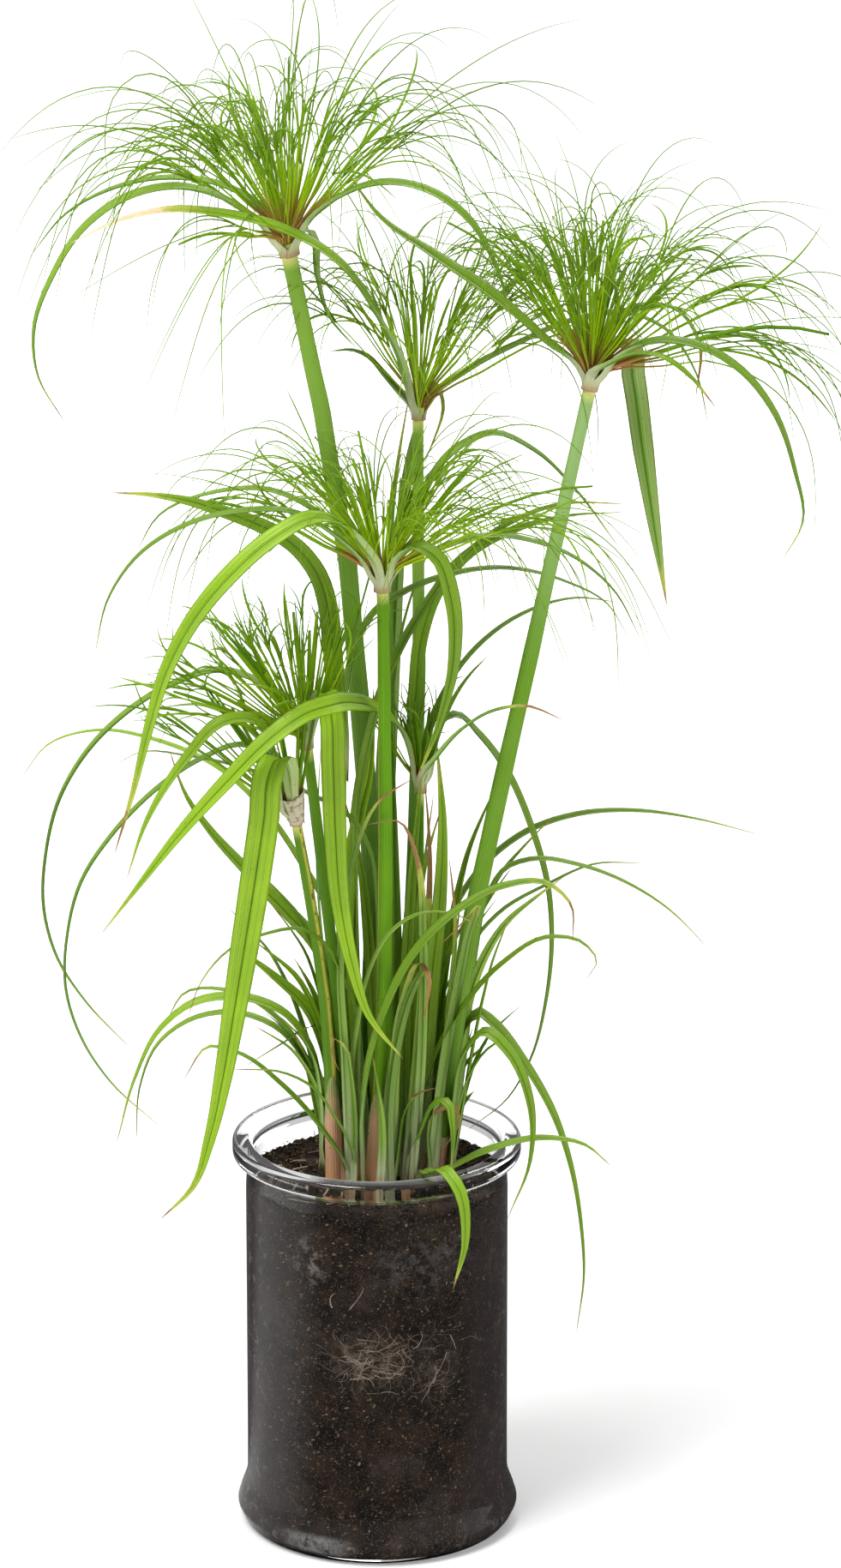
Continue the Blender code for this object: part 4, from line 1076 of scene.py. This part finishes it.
def turned_away(lines, low, high):
    """Copies of lines that are turned about their first point by a chance angle, in degrees."""
    root = lines[:, :1]
    chord = unit(lines[:, -1] - lines[:, 0])
    axis = unit(np.cross(chord, rng.normal(size=chord.shape)))[:, None]
    angle = np.radians(rng.uniform(low, high, len(lines)))[:, None, None]
    arm = lines - root
    return (root + arm * np.cos(angle) + np.cross(axis, arm) * np.sin(angle)
            + axis * (axis * arm).sum(-1, keepdims=True) * (1 - np.cos(angle)))


def resample(lines, start, end, steps):
    """Points from one share of each line to another; start and end are one number per line."""
    return np.array([through(line, lengths(line), np.linspace(low, high, steps) * lengths(line)[-1])
                     for line, low, high in zip(lines, start, end)])


def grow_threads(origin, direction, length, droop, steps=17):
    """Thin threads that leave each origin and bend towards the ground, each with a curl of its own."""
    points, place, heading = [origin], origin, direction
    down = unit(direction * (0.30, 0.30, 0.0) - (0.0, 0.0, 1.0))
    curl = rng.normal(0.0, 0.105, direction.shape)
    for k in range(1, steps):
        pull = droop[:, None] * (0.15 + 1.7 * k / steps) / steps
        heading = unit(heading + down * pull + curl * (k / steps))
        place = place + heading * (length / (steps - 1))[:, None]
        points.append(place)
    return np.stack(points, axis=1)


def kept_short(lines):
    """Lines that would leave the plant's own room, drawn in towards their start."""
    for _ in range(10):
        out = ((lines < ROOM[0]) | (lines > ROOM[1])).any(axis=(1, 2))
        lines[out] = lines[out, :1] + (lines[out] - lines[out, :1]) * 0.9
    return lines


def make_fan(number, rays, fork, threads, reach, droop, blunt, thick, tone, blades=0.5, core=1):
    lines = bundles[number]
    top = culms[number][0][-1]
    foot = top + (lines[:, 0] - top) * (0.75, 0.75, 0.0) - (0.0, 0.0, 0.001)
    lines = np.concatenate([foot[:, None], lines], axis=1)
    lines = kept_short(np.vstack([lines] + [turned_away(lines, 2.5, 10.0) for _ in range(rays - 1)]))
    count, share = len(lines), np.linspace(0.0, 1.0, 9)
    span = np.linalg.norm(lines[:, -1] - lines[:, 0], axis=1)
    first = np.arange(count) < len(bundles[number])
    split = rng.uniform(*fork, count)
    closed = (rng.uniform(size=count) < blunt) & ~first
    split[closed] = rng.uniform(0.72, 0.96, closed.sum())
    shade = np.clip(rng.normal(tone, 0.16, count) - 0.25 * closed, 0.02, 0.98)
    stem = resample(lines, np.zeros(count), split, 9)
    width = thick * MM * rng.uniform(0.78, 1.2, count) * (1 + 0.40 * closed)
    taper = np.where(closed[:, None], 1.0 - 0.35 * share ** 6, 1.0 - 0.42 * share)
    parts = [tubes(stem, width[:, None] * taper, 5,
                   {"along": split[:, None] * share, "tone": shade[:, None], "thin": 0.0})]

    inner = np.random.default_rng(number)
    middles = np.vstack([(lines[first] + inner.permutation(lines[first])) / 2 for _ in range(core)])
    ends = inner.uniform(0.70, 1.0, len(middles))
    girth = thick * MM * inner.uniform(0.8, 1.2, len(middles))
    parts.append(tubes(resample(middles, 0.0 * ends, ends, 9), girth[:, None] * (1.0 - 0.6 * share), 5,
                       {"along": ends[:, None] * share, "tone": inner.uniform(0.35, 0.85, (len(middles), 1)),
                        "thin": 0.0}))

    def outgrowths(owner, waver, reaches, droops, profile, sides, thin):
        heading = unit(stem[owner, -1] - stem[owner, -2])
        heading = unit(heading + rng.normal(0.0, waver, heading.shape))
        arcs = kept_short(grow_threads(stem[owner, -1], heading, reaches, droops))
        ease = np.linspace(0.0, 1.0, arcs.shape[1])
        values = {"along": split[owner][:, None] + 0.35 * ease, "tone": shade[owner][:, None], "thin": thin}
        parts.append(tubes(arcs, profile(ease) * MM, sides, values))

    kept = np.flatnonzero(~closed)
    owner = np.repeat(kept, rng.integers(threads[0], threads[1] + 1, len(kept)))
    start = rng.uniform(0.35, 0.49, len(owner))[:, None]
    weight = droop * (rng.uniform(0.35, 1.5, len(owner)) + 1.2 * (rng.uniform(size=len(owner)) > 0.88))
    outgrowths(owner, 0.11, span[owner] * rng.uniform(*reach, len(owner)), weight,
               lambda ease: start * (1.0 - 0.76 * ease ** 1.9), 3, 1.0)
    owner = kept[rng.uniform(size=len(kept)) < blades]
    broad = rng.uniform(0.50, 0.80, len(owner))[:, None]
    outgrowths(owner, 0.13, span[owner] * rng.uniform(0.22, 0.62, len(owner)),
               droop * rng.uniform(0.1, 0.8, len(owner)),
               lambda ease: broad * (0.5 + 1.6 * ease) * (1.0 - ease) ** 0.8 + 0.06, 4, 0.35)
    parts.append(tubes(resample(lines[first], split[first], np.ones(first.sum()), 7),
                       0.36 * MM * np.linspace(1.0, 0.25, 7), 3,
                       {"along": np.linspace(0.7, 1.0, 7), "tone": shade[first][:, None], "thin": 1.0}))
    make_piece(f"rays_{number}", parts, ray_look, "ray", f"umbel_{number}")
    return count, len(middles)


# %% Grow the seven fans
FANS = {
    1: dict(rays=5, fork=(0.36, 0.62), threads=(1, 3), reach=(0.55, 1.20), droop=3.4, blunt=0.12,
            thick=0.62, tone=0.55),
    2: dict(rays=5, fork=(0.38, 0.64), threads=(1, 3), reach=(0.55, 1.10), droop=3.5, blunt=0.12,
            thick=0.62, tone=0.56),
    3: dict(rays=5, fork=(0.32, 0.56), threads=(1, 3), reach=(0.50, 1.10), droop=3.4, blunt=0.06,
            thick=0.54, tone=0.70, blades=0.35, core=2),
    4: dict(rays=6, fork=(0.50, 0.80), threads=(1, 3), reach=(0.18, 0.42), droop=0.25, blunt=0.30,
            thick=0.66, tone=0.72, blades=0.7),
    5: dict(rays=4, fork=(0.50, 0.80), threads=(1, 2), reach=(0.15, 0.35), droop=0.15, blunt=0.45,
            thick=0.62, tone=0.40),
    6: dict(rays=4, fork=(0.36, 0.66), threads=(2, 3), reach=(0.45, 1.05), droop=2.6, blunt=0.10,
            thick=0.52, tone=0.86, blades=0.3),
    7: dict(rays=4, fork=(0.50, 0.80), threads=(1, 3), reach=(0.20, 0.50), droop=0.4, blunt=0.30,
            thick=0.55, tone=0.55),
}
print("rays and those between them", {n: make_fan(n, **plan) for n, plan in FANS.items()})

# %% [markdown]
# ## More blades round the foot
# Between the shoots of the solids stand more blades that rise almost straight from the soil.  A
# blade is given by a few places along its middle; the rings that the loft needs are set across
# that line, with the upper face turned towards the heart of the plant.  Places that were read off
# the photo are given as the camera sees them, across and up, and how far forward or back they are.

# %% Ribbons along a route
PLANTED = SOIL_TOP - 2.5
HEART = np.array([6.0, -2.0])


def seen(route):
    """Places in metres of spots (across, up, depth), as they appear on the upright plane y = 0."""
    route = np.array(route, float)
    plane = np.stack([route[:, 0], np.zeros(len(route)), route[:, 1]], axis=1)
    return (EYE + (plane - EYE) * ((route[:, 2:] - EYE[1]) / -EYE[1])) * MM


def inward(x, y):
    """The direction from a foot to the heart of the plant, a little upwards."""
    towards = np.append(HEART - (x, y), 0.0) if np.hypot(*(HEART - (x, y))) > 17.0 else (0.25, -1.0, 0.0)
    return unit(towards + np.array([0.0, 1e-3, 0.0])) + np.array([0.0, 0.0, 0.25])


# %% Blades read off the photo
FRONT_BLADES = [
    ((-12, -31), [(-15, 225, -37), (-17, 270, -37), (-14, 305, -37), (-8, 330, -37), (0, 346, -38),
                  (8, 355, -38), (16, 358, -38)], 6.0, 0.42, 0.10, 1.2),
    ((16, -24), [(21, 235, -32), (21, 290, -34), (18, 322, -35), (10, 338, -36), (2, 339, -37),
                 (-6, 336, -37)], 5.0, 0.40, 0.22, 1.2),
    ((-13, -27), [(-10, 235, -35), (0, 275, -36), (12, 291, -37), (30, 295, -37), (47, 288, -37)],
     3.6, 0.60, 0.04, 1.0),
    ((24, -18), [(32, 225, -24), (38, 262, -24), (43, 288, -24), (46, 298, -25), (41, 292, -29),
                 (34, 284, -31), (27, 277, -32)], 7.0, 0.22, 0.14, 0.8),
    ((6, -31), [(6, 210, -36), (10, 236, -36), (18, 261, -37), (22.6, 268, -38), (24, 260, -41),
                (21, 243, -42)], 6.0, 0.20, 0.16, 0.8),
    ((-11, -34), [(-11, 205, -39), (-13, 222, -40), (-17, 234, -40), (-21, 233, -41), (-20, 226, -42),
                  (-17, 218, -42)], 4.0, 0.45, 0.20, 1.5),
    ((-15, -4), [(-20, 225, -10), (-27, 241, -11), (-41, 233, -13), (-59, 221, -15)], 3.2, 0.20, 0.05, 0.8),
    ((25, -20), [(32, 200, -24), (37, 200, -25), (37, 190, -26), (32, 183, -27), (29, 177, -27)],
     3.5, 0.55, 0.50, 1.0),
    ((1, -37), [(2, 195, -41), (0, 212, -41), (-2, 226, -40)], 4.4, 0.55, 0.03, 4.0),
    ((8, 24), [(6, 330, 36), (6, 400, 42), (8, 490, 46), (15, 537, 47)], 8.0, 0.20, 0.04, 1.0),
    # painted highlight: this tall blade is given the bright tone 0.95 where it catches the key light
    ((-6, -3), [(-12, 230, -5), (-14, 284, -6), (-10, 330, -6), (-3, 362, -7), (-1, 401, -8)],
     9.5, 0.95, 0.03, 1.0),
    ((20, -10), [(24, 250, -13), (29, 304, -14), (30, 340, -14), (27, 378, -14)], 8.5, 0.55, 0.04, 1.2),
    ((7, -8), [(9, 250, -4), (8, 330, -2), (6, 402, 2)], 6.0, 0.25, 0.03, 0.6),
    ((13, -9), [(13, 250, -6), (17, 320, -6), (21, 366, -9)], 7.0, 0.60, 0.03, 0.6),
    ((-14, -9), [(-22, 250, -2), (-27, 320, 0), (-25, 372, 2)], 6.0, 0.40, 0.03, 0.6),
    ((18, -6), [(21, 250, -9), (24, 330, -10), (22, 356, -10)], 4.5, 0.90, 0.30, 1.0),
    ((27, -14), [(33, 245, -18), (36, 290, -18), (33, 320, -18)], 4.6, 0.92, 0.16, 1.2),
    ((12, -20), [(19, 240, -27), (21, 283, -28), (21, 306, -28)], 3.8, 0.80, 0.03, 1.2),
]
plans = []
for (x, y), route, width, tone, dry, pale in FRONT_BLADES:
    line = np.vstack([[x * MM, y * MM, PLANTED * MM], seen(route)])
    plans.append((*ribbon(line, width, inward(x, y)), tone, dry, pale))
grow_leaf("front_blades", plans)
print("front blades", len(plans))

# %% Upright blades that fill the clump
def clear_of_culms(line, room):
    """True where a line stays clear of every culm."""
    for middles, radii in culms.values():
        x, y, radius = (np.interp(line[:, 2], middles[:, 2], row) for row in (*middles.T[:2], radii))
        gap = np.hypot(line[:, 0] - x, line[:, 1] - y) - radius
        if (gap[line[:, 2] < middles[-1, 2]] < room).any():
            return False
    return True


def upright_line():
    """A chance route that rises from the clump and leans away from its heart."""
    angle, far = rng.uniform(-0.12 * pi, 1.12 * pi), rng.uniform(0.0, 1.0) ** 0.5
    foot = HEART + (30.0 * far * cos(angle), 25.0 * far * sin(angle))
    rise, lean = rng.uniform(60.0, 260.0) * (1.15 - 0.5 * far), rng.uniform(0.05, 0.20)
    swing = rng.uniform(0.0, 0.35) * rise
    share = np.linspace(0.0, 1.0, 6)
    flat = foot + (foot - HEART) / 28.0 * (lean * rise * share + swing * share ** 4)[:, None]
    return np.column_stack([flat, PLANTED + rise * (share - 0.10 * share ** 4)]) * MM


UPRIGHT_BLADES, MOST_TRIES = 34, 3000
plans, tries = [], 0
while len(plans) < UPRIGHT_BLADES and tries < MOST_TRIES:
    tries += 1
    line, width = upright_line(), rng.uniform(4.5, 7.5)
    if clear_of_culms(line, 0.45 * width * MM):
        face = inward(*(line[0, :2] / MM)) + np.append(rng.normal(0.0, 0.35, 2), 0.0)
        rings, tip = ribbon(line, width, face, twist=rng.uniform(-0.7, 0.7), steps=11)
        plans.append((rings, tip, rng.uniform(0.30, 0.95), rng.choice([0.02, 0.03, 0.05, 0.08]),
                      rng.choice([0.3, 0.6, 1.0])))
grow_leaf("upright_blades", plans)
print("upright blades", len(plans), "after", tries, "tries")

# %% [markdown]
# ## Sheaths and scales
# The foot of every culm is wrapped in a papery sleeve that ends in a slanting mouth.  Old sleeves
# turn from green to pink, rust and tan.  A sleeve is two walls, drawn round the culm's own line,
# whose height changes round the stem.  Small pointed scales stand between them.

# %% Material: sheath
sheath_look, tree, place = new_material("sheath")
across, along = blade_map(tree)
(tone,) = carried(tree, "tone")
line = use(veins, Across=across, Along=along, Count=20.0)
height = along + use(mottle, Place=place, Scale=90.0) * 0.22
papery = coats(mix(height.step(0.10, 0.60), (0.900, 0.400, 0.165), (0.720, 0.390, 0.210)),
               (tone, (0.270, 0.115, 0.080)),
               (height.step(0.72, 1.15), (0.240, 0.320, 0.080)),
               (line.step(0.45, 0.85) * 0.45, (0.700, 0.520, 0.360)),
               (use(specks, Place=place, Scale=330.0, Size=0.25) * 0.6, (0.120, 0.050, 0.030)))
finish(sheath_look, papery, 0.58, 0.25, {"Normal": bump(line.other("Height"), 0.5, 0.0003)})
print("sheath nodes", len(tree.nodes))

# %% Sheaths
SHEATHS = {1: (46, 0.5, 0.3), 2: (56, 2.4, 0.75), 3: (54, 4.4, 0.05), 4: (40, 3.6, 0.1), 5: (60, 4.9, 0.15),
           6: (44, 1.2, 0.4), 7: (30, 5.6, 0.2), 8: (34, 3.0, 0.2)}
SLEEVE_SIDES, SLEEVE_ROWS = 30, 13


def two_walls(rows):
    """Points and faces of rings that go up an outer wall, down an inner one, and close."""
    index = np.arange(rows[..., 0].size).reshape(rows.shape[:2])
    return rows.reshape(-1, 3), ring_quads(np.vstack([index, index[:1]])).tolist()


def sleeve(number, height, mouth):
    """Points, faces and UVs of a sleeve round the foot of a culm."""
    middles, radii = culms[number]
    turns, share = around(SLEEVE_SIDES), np.linspace(0.0, 1.0, SLEEVE_ROWS)
    reach = height * MM * (0.45 + 0.55 * (0.5 + 0.5 * np.cos(turns - mouth)) ** 1.6)
    rows, uvs = [], []
    for skin, order in ((0.75, share), (0.35, share[::-1])):
        for s in order:
            z = (SOIL_TOP - 3.0) * MM + reach * s
            x, y, radius = (np.interp(z, middles[:, 2], row) for row in (*middles.T[:2], radii))
            radius = radius * STEM_GIRTH + (skin + 0.5 * (1 - s) ** 3) * MM
            radius = radius * (1 + 0.05 * np.cos(3 * turns + number))
            rows.append(np.column_stack([x + radius * np.cos(turns), y + radius * np.sin(turns), z]))
            uvs.append(np.column_stack([turns / (2 * pi), np.full(SLEEVE_SIDES, s)]))
    return *two_walls(np.array(rows)), np.vstack(uvs)


parts = []
for number, (height, mouth, tone) in SHEATHS.items():
    points, faces, uvs = sleeve(number, height, mouth)
    parts.append((points, faces, {"tone": tone}, uvs))
sheaths = make_piece("sheaths", parts, sheath_look, "culm")
print("sheath quads", len(sheaths.data.polygons))

# %% Scales at the foot
SCALES = [(-5, -30, 15, 5.5, 0.35), (13, -29, 13, 4.5, 0.20), (40, -33, 12, 2.6, 0.60),
          (-14, -24, 18, 5.0, 0.0), (20, -16, 20, 5.0, 0.25), (28, 4, 17, 4.5, 0.3),
          (5, 25, 16, 5.0, 0.2), (-17, 10, 15, 4.5, 0.1)]
plans = []
for x, y, height, width, tone in SCALES:
    foot, face = np.array([x, y, PLANTED]), inward(x, y)
    out = -face * (1.0, 1.0, 0.0)
    line = [foot, foot + height * (out * 0.10 + (0, 0, 0.6)), foot + height * (out * 0.16 + (0, 0, 1))]
    plans.append((*ribbon(np.array(line) * MM, width, face, twist=0.2, steps=8), tone, 0.0, 0.0))
grow_leaf("scales", plans, look=sheath_look)
print("scales", len(plans))

# %% [markdown]
# ## The sleeve of the fifth head
# Under the darkest young head the bracts are joined into a long pale sleeve with purple blotches.

# %% Long sleeve
COLLAR_SIDES, COLLAR_ROWS = 28, 12


def collar(number, low, high, gap):
    """Rings of a sleeve round the top of a culm, from *low* to *high* millimetres past its end."""
    middles, radii = culms[number]
    axis = unit(middles[-1] - middles[-2])
    side = unit(np.cross(axis, [0.0, 1.0, 0.0]))
    turns = around(COLLAR_SIDES)
    ways = spokes(side, np.cross(axis, side), turns)
    heights = np.linspace(low, high, COLLAR_ROWS)
    rows = []
    for skin, order in ((gap, heights), (gap - 0.35, heights[::-1])):
        for z in order:
            swell = 1.1 * min(1.0, (z - low) / 3.0) + 2.2 * max(0.0, z / high) ** 2
            rim = 2.0 * np.cos(2 * turns + 0.6) * max(0.0, (z - 0.5 * high) / high)
            radius = radii[-1] * STEM_GIRTH + (skin + swell) * MM
            rows.append(middles[-1] + axis * z * MM + ways * radius + axis * rim[:, None] * MM)
    return np.array(rows)


points, faces = two_walls(collar(5, -0.6, 15.0, 0.75))
down = np.linspace(0.9, 0.35, COLLAR_ROWS)
base = np.concatenate([down, down[::-1]]).repeat(COLLAR_SIDES)
uvs = np.column_stack([np.tile(np.arange(COLLAR_SIDES) / COLLAR_SIDES, 2 * COLLAR_ROWS), 1 - base])
sleeve_look = leaf_look.copy()
sleeve_look.name = "blotched_sleeve"
tree = sleeve_look.node_tree
colour = tree.nodes["Principled BSDF"].inputs["Base Color"]
blotch = cloudy(add(tree, "TexCoord", output="Object"), 420.0, 2.0)
join(coats(Value(colour.links[0].from_socket), (0.65, (0.640, 0.520, 0.420)),
           (blotch.step(0.55, 0.63, 0.0, 0.55), (0.130, 0.045, 0.045))), colour)
values = {"tone": 0.6, "dry": 0.0, "under": 0.0, "base": base}
make_piece("sleeve_5", [(points, faces, values, uvs)], sleeve_look, "leaf")
print("sleeve faces", len(faces))

# %% [markdown]
# ## Roots and straw
# Pale roots press against the glass in a tangle in front, and short straws lie on the soil.  Both
# are fine tubes.  A root wanders over the inner wall: its steps are angles and heights, and the
# radius stays just outside that of the soil, so that the root shows.

# %% Material: straw and roots
straw_look, tree, place = new_material("straw_and_roots")
(tone,) = carried(tree, "tone")
cloud = use(mottle, Place=place, Scale=300.0)
pale = coats(mix(tone, (0.150, 0.090, 0.052), (0.700, 0.560, 0.430)), (cloud * 0.45, (0.090, 0.052, 0.032)))
finish(straw_look, pale, 0.75, 0.5, {"Normal": bump(cloud, 0.4, 0.0003)})
print("straw nodes", len(tree.nodes))

# %% Roots on the glass
ROOT_RADIUS, ROOT_STEPS = 57.13, 12
SIDE_ROOTS, HAIRS = 26, 150
ROOTS = [(-13, 100, -0.2, 9), (-9, 97, 0.5, 12), (-4, 101, -1.9, 14), (-7, 92, -0.3, 9), (0, 104, 0.2, 12),
         (-12, 124, 0.9, 14), (29, 92, -2.2, 18), (33, 100, -1.9, 10), (35, 108, -1.2, 9), (6, 98, -0.7, 12),
         (12, 96, -2.5, 9), (-20, 124, 2.2, 9), (-12, 90, 0.2, 12), (-2, 95, -0.2, 14), (26, 86, 0.9, 9)]


def wander(across, height, heading, length, bend):
    """A route over the inner wall: a start, a heading (0 is level, to the right) and a length."""
    turn, spots, drift = across / INNER - pi / 2, [], rng.normal(0.0, bend)
    for _ in range(ROOT_STEPS):
        spots.append((ROOT_RADIUS * cos(turn), ROOT_RADIUS * sin(turn), height))
        heading += (drift + rng.normal(0.0, bend)) / ROOT_STEPS * 2.0
        turn += cos(heading) * length / ROOT_STEPS / INNER
        height += sin(heading) * length / ROOT_STEPS
    return np.array(spots) * MM


paths = [wander(*route, bend=0.4) for route in ROOTS]
paths += [wander(rng.normal(-3.0, 9.0), rng.normal(98.0, 4.5), rng.normal(-0.3, 0.6), rng.uniform(5.0, 12.0),
                 bend=0.7) for _ in range(SIDE_ROOTS)]
widths = np.concatenate([np.full(len(ROOTS), 0.33), rng.uniform(0.16, 0.27, SIDE_ROOTS)])
hairs = []
for k in range(HAIRS):
    across, up = ((-3.0, 9.0), (99.0, 6.0)) if k % 3 else ((26.0, 8.0), (96.0, 12.0))
    start = rng.normal(*across), rng.normal(*up), rng.normal(0.0, 0.8) + pi * rng.integers(0, 2)
    hairs.append(wander(*start, rng.uniform(4.0, 14.0), bend=0.8))
hair_widths = rng.uniform(0.06, 0.14, len(hairs))


def root_part(paths, widths, sides, dullest):
    radii = widths[:, None] * MM * np.linspace(1.0, 0.4, ROOT_STEPS)
    return tubes(np.array(paths), radii, sides, {"tone": rng.uniform(dullest, 1.0, (len(paths), 1))})


parts = [root_part(paths, widths, 5, 0.6), root_part(hairs, hair_widths, 3, 0.45)]
make_piece("roots", parts, straw_look, "potting_soil")
print("roots", len(paths) + len(hairs))

# %% Straw on the soil
STRAWS, STRAW_ROOM = 34, 54.0
share = np.linspace(-1.0, 1.0, 5)
paths = []
for _ in range(STRAWS):
    angle, far = rng.normal(3.5, 0.8), rng.uniform(30.0, 51.0)
    way, length = rng.uniform(0, pi), rng.uniform(2.5, 7.0)
    line = np.column_stack([far * cos(angle) + share * length * cos(way),
                            far * sin(angle) + share * length * sin(way) * 0.9, 0 * share])
    line *= min(1.0, STRAW_ROOM / np.hypot(line[:, 0], line[:, 1]).max())
    line[:, 2] = max(soil_rise(*spot[:2]) for spot in line) + 0.35 + rng.uniform(-0.8, 0.8) * share
    paths.append(line * MM)
straw = tubes(np.array(paths), MM * rng.uniform(0.18, 0.42, (len(paths), 1)), 5,
              {"tone": rng.uniform(0.1, 1.0, (len(paths), 1))})
make_piece("straw", [straw], straw_look, "potting_soil")
print("straws", len(paths))
